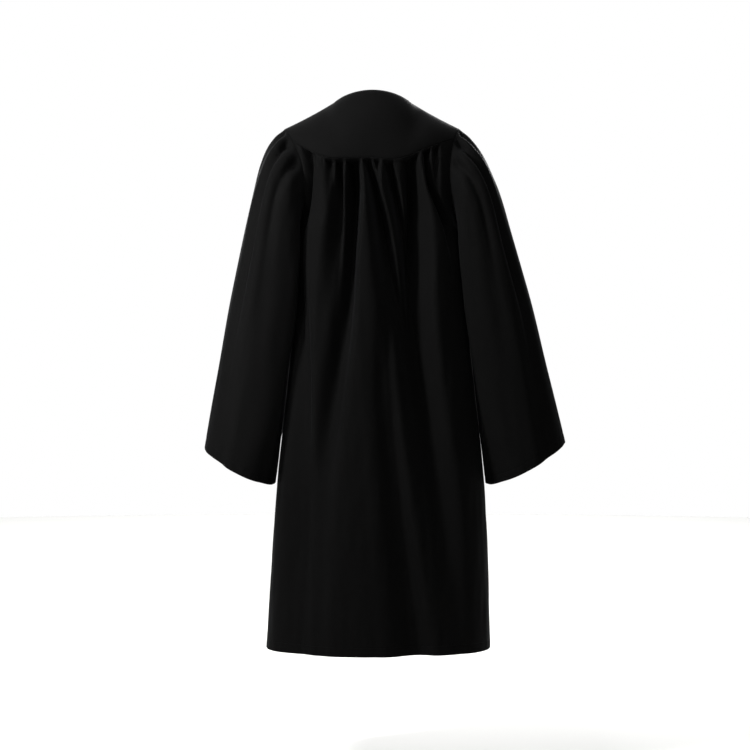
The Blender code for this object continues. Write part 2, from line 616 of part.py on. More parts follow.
def add_zip(left_front, right_front):
    """The closed chain, and the slider with its bridge, in which the pull tab's bar turns."""
    middle = (left_front[: ZIP_LAST_ROW + 1, 0] + right_front[: ZIP_LAST_ROW + 1, 0]) / 2
    middle[-1, 2] += SEAM
    half = np.array([CHAIN_WIDTH / 2, 0.0, 0.0])
    add_cloth("zip_chain", np.stack([middle - half, middle + half], axis=1), BLACK_NYLON, CHAIN_THICKNESS)

    # The slider lies flat on the chain, which slopes forward as it comes down from the neck.
    across, forward = (np.interp(-SLIDER_MIDDLE, -middle[:, 2], middle[:, i]) for i in (0, 1))
    above = np.interp(-SLIDER_MIDDLE - SLIDER_HEIGHT / 2, -middle[:, 2], middle[:, 1])
    slope = math.atan2(forward - above, SLIDER_HEIGHT / 2)
    place = Matrix.Translation((across, forward, SLIDER_MIDDLE)) @ Matrix.Rotation(slope, 4, "X")

    front = -CHAIN_THICKNESS / 2 - SLIDER_CLEAR
    face = front - SLIDER_THICKNESS
    reach = WINDOW + BRIDGE_BAR
    sunk = SLIDER_THICKNESS / 3
    plate_size = (SLIDER_WIDTH, SLIDER_THICKNESS, SLIDER_HEIGHT)
    plate = box_mesh("zip_slider", plate_size, (0, (front + face) / 2, 0), rounding=0.0006)
    bridge_size = (BRIDGE_WIDTH, reach + sunk, BRIDGE_HEIGHT)
    bridge = box_mesh("bridge", bridge_size, (0, face + (sunk - reach) / 2, 0))
    window_size = (BRIDGE_WIDTH * 2, WINDOW, BRIDGE_HEIGHT - 2 * BRIDGE_BAR)
    window = box_mesh("bridge_window", window_size, (0, face - WINDOW / 2, 0))
    slider = add_mesh("zip_slider", plate, BLACK_ENAMEL)
    slider.matrix_world = place
    combine(slider, add_cutter("bridge", bridge, place), "UNION")
    combine(slider, add_cutter("bridge_window", window, place), "DIFFERENCE")

    # The tab's top edge is the bar in the window, and the bridge's lower leg passes through its eye.
    bar = TAB_THICKNESS / 2
    hinge = place @ Matrix.Translation((0, face - WINDOW / 2, BRIDGE_BAR + WINDOW / 2 - BRIDGE_HEIGHT / 2))
    tab_size = (TAB_WIDTH, TAB_THICKNESS, TAB_LENGTH)
    tab = box_mesh("zip_pull", tab_size, (0, 0, bar - TAB_LENGTH / 2), rounding=0.00025)
    eye_size = (TAB_EYE_WIDTH, TAB_THICKNESS * 3, TAB_EYE_HEIGHT)
    eye = box_mesh("tab_eye", eye_size, (0, 0, -bar - TAB_EYE_HEIGHT / 2))
    pull = add_mesh("zip_pull", tab, BLACK_ENAMEL)
    pull.matrix_world = hinge
    combine(pull, add_cutter("tab_eye", eye, hinge), "DIFFERENCE")


for old in list(bpy.data.objects):
    bpy.data.objects.remove(old)
gown = bpy.data.collections.new("graduation_gown")
cutters = bpy.data.collections.new("cutters")
for collection in (gown, cutters):
    bpy.context.scene.collection.children.link(collection)

back, yoke_back = back_sheet(), back_yoke_sheet()
add_cloth("back", back)
add_cloth("yoke_back", yoke_back)
fronts = {}
for side_name, side_sign in (("left", 1), ("right", -1)):
    front, yoke_front = front_sheet(side_sign), front_yoke_sheet(side_sign)
    fronts[side_name] = front
    add_cloth(f"front_{side_name}", front)
    add_cloth(f"yoke_front_{side_name}", yoke_front)
    sleeve = sleeve_sheet(side_sign, (back, front, yoke_back, yoke_front))
    add_cloth(f"sleeve_{side_name}", sleeve, closed=True)
add_zip(fronts["left"], fronts["right"])
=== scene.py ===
"""The looks of a black graduation gown, filled out as it hangs with no wearer in it.

Metres, +Z up, the gown's front towards -Y and the wearer's left towards +X. The sections follow the
gown as it is sewn: the back panel, the yokes, the fronts, the sleeves, the stitching and the zip.
The room and the camera come last.
"""

import math
from collections import namedtuple

import bmesh
import bpy
import numpy as np
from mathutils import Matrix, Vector


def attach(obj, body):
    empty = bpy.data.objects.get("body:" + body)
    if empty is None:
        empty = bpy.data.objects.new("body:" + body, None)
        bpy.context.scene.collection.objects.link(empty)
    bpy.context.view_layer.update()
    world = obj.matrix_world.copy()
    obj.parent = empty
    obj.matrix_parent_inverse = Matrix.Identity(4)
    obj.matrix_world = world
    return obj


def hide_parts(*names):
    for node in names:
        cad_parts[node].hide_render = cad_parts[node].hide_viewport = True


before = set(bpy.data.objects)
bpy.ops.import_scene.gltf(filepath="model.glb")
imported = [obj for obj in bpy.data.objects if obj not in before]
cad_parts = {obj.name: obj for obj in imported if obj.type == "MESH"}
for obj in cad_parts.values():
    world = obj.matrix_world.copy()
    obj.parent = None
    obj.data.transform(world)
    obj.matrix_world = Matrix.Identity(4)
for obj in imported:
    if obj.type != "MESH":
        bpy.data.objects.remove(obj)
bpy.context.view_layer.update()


# The back panel: one wide length of woven polyester, cut straight at the top and gathered by two rows
# of stitches into the curved seam of the yoke. It falls free from there, so the gathers run down into
# long uneven folds that open out towards the hem. Its lower edge is turned up once and stitched.

CLOTH = 0.00045
SEAM = 0.0004
BENT_SEAM = 0.0010
GATHERED_SEAM = 0.0011
HEM_TURN = 0.0009
HEM_ROWS = 7
EDGE_BEND = 0.0008
ALLOWANCE_DEPTH, ALLOWANCE, ALLOWANCE_LEAN = 0.0034, 0.006, 0.9
SIDE_DEPTH, SIDE_ALLOWANCE = 0.0026, 0.006
STRAIGHT_UP = np.array([0.0, 0.0, 1.0])

NECK_HALF_WIDTH = 0.078
NECK_BACK_DEPTH = 0.060
NECK_BACK_RISE = 0.0165
NECK_FRONT_DROP = 0.118
HEM = NECK_BACK_RISE - 1.220

# The body as half of a rounded ring at each height: how far its middle lies to the wearer's left, its
# half width, and how far it reaches to the back and the front.
Section = namedtuple("Section", "height centre half_width back front")
BODY = (
    Section(-0.060, 0.001, 0.196, 0.090, 0.074),
    Section(-0.090, -0.001, 0.194, 0.101, 0.088),
    Section(-0.135, -0.006, 0.190, 0.112, 0.106),
    Section(-0.200, -0.011, 0.181, 0.122, 0.122),
    Section(-0.287, -0.014, 0.178, 0.131, 0.133),
    Section(-0.440, -0.0175, 0.185, 0.143, 0.140),
    Section(-0.620, -0.018, 0.204, 0.158, 0.152),
    Section(-0.840, -0.018, 0.227, 0.178, 0.170),
    Section(-1.020, -0.016, 0.238, 0.193, 0.183),
    Section(HEM, -0.0128, 0.246, 0.206, 0.196),
)
ROUNDNESS = 2.4
WIDEST_SHARE = 0.97
COLUMNS_CLOSER = 2.5
DRAWN_STRETCH = 0.045

# The armhole, which cuts the body's ring off above the underarm.
ARMHOLE_OUT, ARMHOLE_IN = 0.192, 0.178
ARMHOLE_TOP, UNDERARM = -0.062, -0.287
ARMHOLE_BACK, ARMHOLE_FRONT = 0.074, 0.070
ARMHOLE_DRAWN_IN = 0.027

# The yoke's seam: how high it lies at each place across, from the wearer's right to the left.
YOKE_CORNER = -0.090
YOKE_SEAM_ACROSS = (-0.179, -0.140, -0.107, -0.080, -0.044, 0.0, 0.060, 0.108, 0.140, 0.177)
YOKE_SEAM_HEIGHT = (
    YOKE_CORNER, -0.105, -0.118, -0.131, -0.139, -0.136, -0.136, -0.132, -0.115, YOKE_CORNER
)
BACK_SEAM_LENGTH, SEAM_STEPS = 0.46, 8

# The long folds. Each valley is a path down the cloth: how far it lies to the wearer's left, how deep
# it is and how wide, at each of these heights.
LEVELS = (-0.14, -0.20, -0.26, -0.34, -0.46, -0.64, -0.88, HEM)
Fold = namedtuple("Fold", "across depth width")


def carried_on(*rows):
    """A fold whose rows go on to the hem with their last value."""
    return Fold(*(row + row[-1:] * (len(LEVELS) - len(row)) for row in rows))


BACK_FOLDS = {
    "under_left_sleeve": carried_on(
        (0.138, 0.141, 0.146, 0.152, 0.156),
        (0.012, 0.016, 0.016, 0.012, 0.005, 0.000),
        (0.009, 0.009, 0.009, 0.009, 0.010),
    ),
    "short_left": carried_on((0.091,), (0.010, 0.004, 0.000), (0.006, 0.006, 0.006, 0.008, 0.010)),
    "left_soft": Fold(
        (0.070, 0.074, 0.077, 0.084, 0.091, 0.098, 0.117, 0.128),
        (0.012, 0.015, 0.014, 0.012, 0.007, 0.003, 0.000, 0.000),
        (0.007, 0.008, 0.010, 0.013, 0.017, 0.022, 0.025, 0.030),
    ),
    "left_deep": Fold(
        (0.0375, 0.0375, 0.042, 0.049, 0.056, 0.077, 0.112, 0.125),
        (0.018, 0.024, 0.026, 0.026, 0.022, 0.014, 0.008, 0.005),
        (0.010, 0.012, 0.013, 0.014, 0.016, 0.020, 0.026, 0.032),
    ),
    "dart": carried_on((-0.012,), (0.007, 0.003, 0.000), (0.005, 0.005, 0.006, 0.008, 0.010)),
    "middle": Fold(
        (0.008, -0.005, -0.017, -0.030, -0.050, -0.074, -0.102, -0.123),
        (0.013, 0.020, 0.023, 0.021, 0.015, 0.009, 0.005, 0.003),
        (0.007, 0.009, 0.012, 0.015, 0.018, 0.021, 0.026, 0.032),
    ),
    "right_short": carried_on(
        (-0.037, -0.050, -0.063, -0.076, -0.085),
        (0.011, 0.014, 0.012, 0.007, 0.000),
        (0.007, 0.008, 0.009, 0.011, 0.012),
    ),
    "right_deep": Fold(
        (-0.088, -0.096, -0.105, -0.107, -0.104, -0.118, -0.150, -0.180),
        (0.017, 0.024, 0.027, 0.028, 0.026, 0.021, 0.013, 0.005),
        (0.009, 0.012, 0.015, 0.018, 0.021, 0.024, 0.030, 0.036),
    ),
    "slanting": carried_on(
        (-0.120, -0.132, -0.156, -0.172), (0.012, 0.016, 0.014, 0.004, 0.000), (0.005, 0.006, 0.008, 0.010)
    ),
    "short_right": carried_on((-0.140,), (0.006, 0.002, 0.000), (0.005, 0.006, 0.008, 0.010)),
    "low_diagonal": Fold(
        (-0.012, -0.016, -0.018, -0.020, -0.025, -0.033, -0.057, -0.100),
        (0.000, 0.000, 0.000, 0.001, 0.003, 0.008, 0.013, 0.018),
        (0.014, 0.014, 0.014, 0.014, 0.014, 0.017, 0.022, 0.030),
    ),
    "low_left": Fold(
        (0.143, 0.143, 0.143, 0.143, 0.143, 0.147, 0.155, 0.165),
        (0.000, 0.000, 0.000, 0.000, 0.004, 0.010, 0.012, 0.008),
        (0.014, 0.014, 0.014, 0.016, 0.016, 0.019, 0.025, 0.032),
    ),
}

# Broad hollows that the long folds lie in.
BACK_HOLLOWS = {
    "right": Fold(
        (-0.056, -0.060, -0.065, -0.072, -0.086, -0.115, -0.155, -0.180),
        (0.006, 0.022, 0.030, 0.030, 0.024, 0.016, 0.009, 0.000),
        (0.036, 0.042, 0.044, 0.042, 0.036, 0.030, 0.028, 0.030),
    ),
    "left": Fold(
        (0.058, 0.060, 0.062, 0.066, 0.070, 0.088, 0.110, 0.120),
        (0.003, 0.007, 0.009, 0.009, 0.007, 0.005, 0.003, 0.000),
        (0.020, 0.024, 0.026, 0.026, 0.026, 0.028, 0.030, 0.030),
    ),
}
PUFF = (0.004, 0.007, 0.008, 0.008, 0.007, 0.006, 0.005, 0.004)
PUFF_STARTS_WITHIN = 0.009

# How much deeper the real folds are than the solid's, at each level, and how steep their walls are. A
# valley is wider on its left side, and steeper on its right.
FOLD_GAIN = (1.8, 2.3, 2.4, 2.4, 2.2, 2.0, 1.9, 1.5)
VALLEY_SHARPNESS, VALLEY_SIDES = 2.6, (1.50, 0.95)
HOLLOW_SHARPNESS = 3.2
FADE_AT_EDGE, PUFF_FADE = 0.016, 0.10

# Small gathers between the long folds, at the seam only: how many to a metre of seam, and the range of
# their depth, half width and length down the cloth. Each has its own place within an even share of the
# seam, leans a little to one side, and grows wider as it runs out.
Gathers = namedtuple("Gathers", "to_a_metre depth half_width length")
BACK_GATHERS = Gathers(105, (0.0012, 0.0036), (0.0020, 0.0036), (0.014, 0.055))
GATHER_PLACES, GATHER_LEAN, GATHER_WIDENS = (0.15, 0.85), 0.12, 1.6

# The slight unevenness of hanging cloth: how many waves, how high they are, and their lengths across
# and down the cloth. The puckers of a stitched hem are shorter. Where they are deepest, and how far
# they reach, are shares of the stitches' distance from the edge.
Waves = namedtuple("Waves", "count height across lengthways")
UNEVEN = Waves(14, 0.0005, (0.022, 0.11), (0.10, 0.60))
PUCKERS = Waves(8, 0.00022, (0.007, 0.024), (0.05, 0.20))
PUCKERS_AT, PUCKERS_REACH = 0.6, 0.7
GROOVE, GROOVE_HALF_WIDTH = 0.00035, 0.0016
HEM_STITCH = 0.020

# How finely the panel is divided: its rows are closest at the gathers, at the underarm and at the hem.
BACK_COLUMNS = 240
EDGE_HEIGHTS = np.concatenate([
    np.linspace(-0.0915, -0.120, 19),
    np.linspace(-0.123, -0.186, 20),
    np.linspace(-0.191, -0.276, 17),
    np.array([-0.279, -0.2815, -0.2837, -0.2853, -0.2864, UNDERARM]),
    np.linspace(-0.294, HEM + 0.040, 104),
    HEM + np.array([0.032, 0.026, 0.023, 0.0215, 0.020, 0.0185, 0.017, 0.012, 0.007, 0.003, 0.0]),
])


def through(x, knots, values):
    """A smooth curve through the values at rising knots, read at x."""
    knots, values = np.asarray(knots, float), np.asarray(values, float)
    slopes = np.gradient(values, knots)
    i = np.clip(np.searchsorted(knots, x) - 1, 0, len(knots) - 2)
    span = knots[i + 1] - knots[i]
    t = np.clip((x - knots[i]) / span, 0.0, 1.0)
    rise = values[i + 1] - values[i]
    start, end = slopes[i] * span, slopes[i + 1] * span
    return values[i] + t * (start + t * (3 * rise - 2 * start - end + t * (start + end - 2 * rise)))


def down(heights, levels, values):
    """The same, for a table whose heights run downwards."""
    return through(-np.asarray(heights, float), -np.asarray(levels, float), values)


def ease(x):
    """0 to 1, with no slope at either end."""
    t = np.clip(x, 0.0, 1.0)
    return t * t * (3 - 2 * t)


def unit(v):
    return v / np.linalg.norm(v, axis=-1, keepdims=True)


def square_to(v, axis):
    """The direction of v's part that is square to a unit axis."""
    return unit(v - (v * axis).sum(-1, keepdims=True) * axis)


def strides(points, axis=0):
    """The distances between neighbouring points."""
    return np.linalg.norm(np.diff(points, axis=axis), axis=-1)


def body_size(column, z):
    return down(z, [row.height for row in BODY], [getattr(row, column) for row in BODY])


def armhole_turn(height):
    """The turn, round the armhole from the shoulder, at which it crosses a height."""
    middle = (ARMHOLE_TOP + UNDERARM) / 2
    return np.arccos(np.clip((height - middle) / (ARMHOLE_TOP - middle), -1.0, 1.0))


def armhole_across(cosine, sine):
    """How far from the body's middle the armhole lies, by the cosine and sine of the turn round it."""
    across = (ARMHOLE_OUT + ARMHOLE_IN) / 2 + (ARMHOLE_OUT - ARMHOLE_IN) / 2 * cosine
    return across - ARMHOLE_DRAWN_IN * sine**2


def armhole_edge(z, face):
    """Where the armhole crosses a height: its distance from the body's middle, and its y."""
    middle = (ARMHOLE_TOP + UNDERARM) / 2
    cosine = np.clip((z - middle) / (ARMHOLE_TOP - middle), -1.0, 1.0)
    sine = np.sqrt(1 - cosine**2)
    return armhole_across(cosine, sine), (ARMHOLE_BACK if face > 0 else ARMHOLE_FRONT) * sine


def half_ring(z, face):
    """The body's half width and depth at a height, and the angle at which the panel ends there."""
    width, depth = body_size("half_width", z), body_size("back" if face > 0 else "front", z)
    across, y = armhole_edge(z, face)
    end = np.where(z > UNDERARM, np.arctan2(across, y), math.pi / 2)
    return width, depth, end


def ring_radius(angle, width, depth):
    wide, deep = np.abs(np.sin(angle)) / width, np.abs(np.cos(angle)) / depth
    return (wide**ROUNDNESS + deep**ROUNDNESS) ** (-1 / ROUNDNESS)


def drawn_to_armhole(angle, z, face):
    """How much the ring's radius changes next to the armhole, so that the panel ends on its loop."""
    width, depth, end = half_ring(z, face)
    at_end = ring_radius(end, width, depth)
    reach = np.where(z > UNDERARM, np.hypot(*armhole_edge(z, face)), width)
    return 1 + (reach / at_end - 1) * ease(1 - (end - np.abs(angle)) * at_end / DRAWN_STRETCH)


def on_ring(angle, z, face):
    """A point of the body's ring, with its outward normal. The angle is from the centre back or
    front, towards the wearer's left where it is positive."""
    width, depth, _ = half_ring(z, face)
    sine, cosine = np.sin(angle), np.cos(angle)
    wide, deep = np.abs(sine) / width, np.abs(cosine) / depth
    radius = ring_radius(angle, width, depth) * drawn_to_armhole(angle, z, face)
    slope_x = np.sign(sine) * wide ** (ROUNDNESS - 1) / width
    slope_y = deep ** (ROUNDNESS - 1) / depth
    length = np.hypot(slope_x, slope_y)
    x = body_size("centre", z) + radius * sine
    return x, face * radius * cosine, slope_x / length, face * slope_y / length, radius


def angle_at(across, z, face):
    """The angle of the ring's point that lies this far to the wearer's left."""
    width, depth, _ = half_ring(z, face)
    x = np.clip((across - body_size("centre", z)) / width, -WIDEST_SHARE, WIDEST_SHARE)
    y = (1 - np.abs(x) ** ROUNDNESS) ** (1 / ROUNDNESS)
    return np.arctan2(x * width, y * depth)


def fold_depth(angle, z, radius, fold, sharpness, sides=(1.0, 1.0)):
    """How deep one valley of the back is at each point."""
    middle = angle_at(down(z, LEVELS, fold.across), z, 1)
    off = (angle - middle) * radius / down(z, LEVELS, fold.width)
    off = off / np.where(off > 0, *sides)
    return np.maximum(down(z, LEVELS, fold.depth), 0.0) * np.exp(-(np.abs(off) ** sharpness))


def small_gathers(along, below, gathers, length, seed):
    """The depth of the small gathers of one seam. along is each point's place along the seam in
    metres, and below is how far down the cloth it lies."""
    draw = np.random.default_rng(seed)
    count = int(gathers.to_a_metre * length)
    places = (np.arange(count) + draw.uniform(*GATHER_PLACES, count)) / count * length
    depth = np.zeros(np.broadcast(along, below).shape)
    for place in places:
        deep, half_width = draw.uniform(*gathers.depth), draw.uniform(*gathers.half_width)
        run, lean = draw.uniform(*gathers.length), draw.uniform(-GATHER_LEAN, GATHER_LEAN)
        widening = half_width * (1 + GATHER_WIDENS * below / run)
        off = (along - place - lean * below) / widening
        depth += deep * np.exp(-(off**2)) * (1 - ease(below / run))
    return depth


def unevenness(along, below, waves, seed):
    """Slight waves in the cloth, longer down it than across, so that no part of it is quite smooth."""
    draw = np.random.default_rng(seed)
    total = np.zeros(np.broadcast(along, below).shape)
    for _ in range(waves.count):
        across, lengthways = draw.uniform(*waves.across), draw.uniform(*waves.lengthways)
        phase = draw.uniform(0.0, 2 * math.pi)
        slant = draw.choice((-1, 1))
        total += np.sin(2 * math.pi * (along / across + slant * below / lengthways) + phase)
    return waves.height * total / math.sqrt(waves.count)


def hem_groove(from_edge, stitch, along, seed):
    """How far the cloth is pulled in by a hem's stitches, with the small puckers beside them."""
    near = np.exp(-(((from_edge - stitch) / GROOVE_HALF_WIDTH) ** 2))
    beside = np.exp(-(((from_edge - stitch * PUCKERS_AT) / (stitch * PUCKERS_REACH)) ** 2))
    return GROOVE * near + beside * unevenness(along, from_edge, PUCKERS, seed)


def spread(share, end):
    """The angles of a panel's columns: even at the middle, and closer together at the armhole."""
    return math.pi / 2 * share - (math.pi / 2 - end) * share**COLUMNS_CLOSER


def body_panel(share, seam, face, side, first_edge, folds):
    """A body panel's points: columns at equal shares of its width, rows from the
    seam's heights to the hem. Valleys go in, and the ridges between them stand out."""
    rows = ((EDGE_HEIGHTS - EDGE_HEIGHTS[0]) / (HEM - EDGE_HEIGHTS[0]))[:, None]
    heights = seam + (HEM - seam) * rows
    heights[:, np.abs(share) == 1] = EDGE_HEIGHTS[:, None]
    _, depth, end = half_ring(heights, face)
    edge_gap = SEAM / 2 / depth * np.abs(share)
    angles = side * (spread(np.abs(share), end) - edge_gap + first_edge / depth * (1 - np.abs(share)))
    x, y, normal_x, normal_y, radius = on_ring(angles, heights, face)
    below = seam[None, :] - heights
    from_edge = (end - np.abs(angles)) * radius
    proud = down(heights, LEVELS, PUFF) * ease(from_edge / PUFF_FADE)
    valleys = folds(angles, heights, radius, below)
    along = angles * radius
    uneven = unevenness(along, below, UNEVEN, seed=21 + face)
    inside = ease(from_edge / FADE_AT_EDGE) * ease(below / PUFF_STARTS_WITHIN)
    offset = (proud - valleys + uneven) * inside
    offset = offset - hem_groove(EDGE_HEIGHTS[:, None] - HEM, HEM_STITCH, along, seed=31)
    return np.stack([x + offset * normal_x, y + offset * normal_y, heights], axis=-1)


def outward_normals(points, outside):
    """The sheet's own unit normals, on the side that the outside points to."""
    normal = unit(np.cross(np.gradient(points, axis=0), np.gradient(points, axis=1)))
    return normal * np.sign((normal * outside).sum(-1, keepdims=True))


def from_middle(points):
    """Roughly outwards: away from the upright line through the body's middle."""
    flat = points.copy()
    flat[..., 0] -= body_size("centre", points[..., 2])
    flat[..., 2] = 0.0
    return flat


def turned_under(points, outward, rows, radius):
    """The sheet with its last edge folded to the inside, and the fold's inner layer this many rows
    deep. The normals stay those of the outer layer."""
    along = square_to(points[-1] - points[-2], outward[-1])
    start = points[-1] - along * radius
    turns = np.radians((0, 45, 90, 135, 180))
    fold = [start + radius * (along * math.sin(a) - outward[-1] * (1 - math.cos(a))) for a in turns]
    under = [points[-2 - k] - 2 * radius * outward[-2 - k] for k in range(rows)]
    normals = [outward[-1]] * len(turns) + [outward[-2 - k] for k in range(rows)]
    return np.concatenate([points[:-1], fold, under]), np.concatenate([outward[:-1], normals])


def faced(points, outward, columns):
    """The sheet with the edge of its first column turned under, this many columns deep."""
    points, outward = points.transpose(1, 0, 2)[::-1], outward.transpose(1, 0, 2)[::-1]
    points, outward = turned_under(points, outward, columns, NECK_TURN)
    return points[::-1].transpose(1, 0, 2), outward[::-1].transpose(1, 0, 2)


def tucked_in(points, outward, leaving, inward, allowance):
    """The sheet with its first edge bent to the inside. The edge is left in one direction, and inward
    points into the hollow, as long as the edge is deep. The seam's allowance carries on from there,
    behind the piece that it is sewn to, or back under its own sheet where it is less than 0."""
    into = unit(inward)
    start = points[0] - leaving * EDGE_BEND
    turns = np.radians((90, 60, 30, 0))
    bend = [start + EDGE_BEND * (leaving * math.sin(a) + into * (1 - math.cos(a))) for a in turns]
    inside = bend[0] + inward - into * EDGE_BEND
    added = [inside + leaving * allowance, inside + leaving * allowance / 2, inside] + bend
    return np.concatenate([added, points[1:]]), np.concatenate([[outward[0]] * len(added), outward[1:]])


def tucked_square(points, outward, depth, allowance):
    """The same, with the edge left straight on from the sheet, and bent in square to it."""
    leaving = square_to(points[0] - points[1], outward[0])
    return tucked_in(points, outward, leaving, -outward[0] * depth, allowance)


def tucked_at_sides(points, outward):
    """The sheet with both of its side edges bent to the inside, and carried on behind its neighbours."""
    for order in (1, -1):
        points, outward = points[:, ::order].transpose(1, 0, 2), outward[:, ::order].transpose(1, 0, 2)
        points, outward = tucked_square(points, outward, SIDE_DEPTH, SIDE_ALLOWANCE)
        points, outward = points.transpose(1, 0, 2)[:, ::order], outward.transpose(1, 0, 2)[:, ::order]
    return points, outward


def weave_places(points):
    """Each point's place on the flat cloth, in metres across and down."""
    u = np.concatenate([[0.0], np.cumsum(strides(points, 1).mean(0))])
    v = np.concatenate([[0.0], np.cumsum(strides(points, 0).mean(1))])
    return np.stack(np.broadcast_arrays(u[None, :], -v[:, None]), axis=-1)


def smooth_mesh(name, points, faces, finish):
    mesh = bpy.data.meshes.new(name)
    mesh.from_pydata(points.reshape(-1, 3).tolist(), [], faces)
    mesh.shade_smooth()
    mesh.materials.append(finish)
    return mesh


def add_object(name, data):
    made = bpy.data.objects.new(name, data)
    bpy.context.scene.collection.objects.link(made)
    return made


def cloth_piece(name, points, finish, node):
    """A piece of cloth from its rows and columns of points, which replaces the part's own solid."""
    rows, columns = points.shape[:2]
    index = np.arange(rows * columns).reshape(rows, columns)
    corners = [index[:-1, :-1], index[:-1, 1:], index[1:, 1:], index[1:, :-1]]
    faces = np.stack(corners, axis=-1).reshape(-1, 4)
    mesh = smooth_mesh(name, points, faces.tolist(), finish)
    weave = mesh.uv_layers.new(name="weave")
    weave.data.foreach_set("uv", weave_places(points).reshape(-1, 2)[faces.ravel()].ravel())
    made = add_object(name, mesh)
    wall = made.modifiers.new("wall", "SOLIDIFY")
    wall.thickness = CLOTH
    wall.offset = 0.0
    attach(made, "gown")
    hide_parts(node)
    return made


def linear(colour):
    """An sRGB hex colour as the linear values that a shader takes."""
    parts = [int(colour[i : i + 2], 16) / 255 for i in (1, 3, 5)]
    return [p / 12.92 if p <= 0.04045 else ((p + 0.055) / 1.055) ** 2.4 for p in parts] + [1.0]


def add_node(tree, kind, settings=(), values=(), links=()):
    """Adds a node, with its settings, its sockets' own values, and links from other nodes' outputs."""
    node = tree.nodes.new(kind)
    for name, value in dict(settings).items():
        setattr(node, name, value)
    for socket, value in dict(values).items():
        node.inputs[socket].default_value = value
    for socket, output in dict(links).items():
        tree.links.new(output, node.inputs[socket])
    return node


def new_material(name, values):
    """A material's tree and its shader, with the shader's own values set."""
    made = bpy.data.materials.new(name)
    made.use_nodes = True
    shader = made.node_tree.nodes["Principled BSDF"]
    for socket, value in values.items():
        shader.inputs[socket].default_value = value
    return made, made.node_tree, shader


def noise(tree, place, scale, detail):
    values = {"Scale": scale, "Detail": detail}
    return add_node(tree, "ShaderNodeTexNoise", {}, values, {"Vector": place}).outputs["Fac"]


def bands(tree, place, direction, scale, distortion):
    settings = {"wave_type": "BANDS", "bands_direction": direction}
    values = {"Scale": scale, "Distortion": distortion}
    return add_node(tree, "ShaderNodeTexWave", settings, values, {"Vector": place}).outputs["Fac"]


def between(tree, share, low, high):
    """The value at a share of the way from the low one to the high one."""
    values = {"To Min": low, "To Max": high}
    return add_node(tree, "ShaderNodeMapRange", {}, values, {"Value": share}).outputs["Result"]


def bump(tree, links, strength, distance):
    values = {"Strength": strength, "Distance": distance}
    return add_node(tree, "ShaderNodeBump", {}, values, links).outputs["Normal"]


# Woven polyester: a plain weave of fine matt threads, dyed black and pressed flat. It has next to no
# shine, only a faint sheen where it is seen edge on. The real threads are 0.25 mm apart. They are drawn
# 0.7 mm apart here, so that they show close up.
THREADS_APART = 0.0007
WAVE_TURNS = 20
SLUB_LENGTH, SLUB_THICKNESS = 0.030, 0.0015
DYE_PATCH = 0.12
woven_polyester, tree, shader = new_material(
    "woven_polyester",
    {
        "Roughness": 0.62,
        "IOR": 1.5,
        "Specular IOR Level": 0.01,
        "Sheen Weight": 0.02,
        "Sheen Roughness": 0.45,
        "Sheen Tint": linear("#c8cad0"),
    },
)
place = add_node(tree, "ShaderNodeUVMap", {"uv_map": "weave"}).outputs["UV"]
fineness = 2 * math.pi / (WAVE_TURNS * THREADS_APART)
threads = {i: bands(tree, place, way, scale=fineness, distortion=0.0) for i, way in enumerate("XY")}
crossing = add_node(tree, "ShaderNodeMath", {"operation": "MULTIPLY"}, {}, threads)
slub_scale = {"Scale": (1 / SLUB_THICKNESS, 1 / SLUB_LENGTH, 1.0)}
stretched = add_node(tree, "ShaderNodeMapping", {}, slub_scale, {"Vector": place})
slubs = noise(tree, stretched.outputs["Vector"], scale=1.0, detail=2.0)
dye = add_node(
    tree,
    "ShaderNodeMix",
    {"data_type": "RGBA"},
    {"A": linear("#0f0f0f"), "B": linear("#121212")},
    {"Factor": noise(tree, place, scale=1 / DYE_PATCH, detail=3.0)},
)
weave_bump = bump(tree, {"Height": crossing.outputs["Value"]}, strength=0.25, distance=0.00008)
slub_bump = bump(tree, {"Height": slubs, "Normal": weave_bump}, strength=0.3, distance=0.00025)
tree.links.new(dye.outputs["Result"], shader.inputs["Base Color"])
tree.links.new(between(tree, slubs, low=0.58, high=0.70), shader.inputs["Roughness"])
tree.links.new(slub_bump, shader.inputs["Normal"])


def back_seam(share):
    """The angle and height of the back yoke's seam at each share of its half width."""
    height = np.full_like(share, YOKE_CORNER)
    for _ in range(SEAM_STEPS):
        _, depth, end = half_ring(height, 1)
        angle = np.sign(share) * spread(np.abs(share), end) - share * SEAM / 2 / depth
        height = through(on_ring(angle, height, 1)[0], YOKE_SEAM_ACROSS, YOKE_SEAM_HEIGHT)
    return angle, height


def back_valleys(angle, z, radius, below):
    total = small_gathers(angle * radius, below, BACK_GATHERS, BACK_SEAM_LENGTH, seed=3)
    gain = down(z, LEVELS, FOLD_GAIN)
    for fold in BACK_FOLDS.values():
        total = total + fold_depth(angle, z, radius, fold, VALLEY_SHARPNESS, VALLEY_SIDES) * gain
    for hollow in BACK_HOLLOWS.values():
        total = total + fold_depth(angle, z, radius, hollow, HOLLOW_SHARPNESS)
    return total


share = np.linspace(-1.0, 1.0, BACK_COLUMNS + 1)
seam = back_seam(share)[1] - GATHERED_SEAM
back = body_panel(share, seam, 1, np.sign(share) + (share == 0), 0.0, back_valleys)
back_out = outward_normals(back, from_middle(back))
hemmed, hemmed_out = turned_under(back, back_out, HEM_ROWS, HEM_TURN)
inward = -unit(from_middle(hemmed[0]))
leaving = unit(STRAIGHT_UP + inward * ALLOWANCE_LEAN)
hemmed, hemmed_out = tucked_in(hemmed, hemmed_out, leaving, inward * ALLOWANCE_DEPTH, ALLOWANCE)
hemmed, hemmed_out = tucked_at_sides(hemmed, hemmed_out)
back_piece = cloth_piece("back_panel", hemmed, woven_polyester, "back")


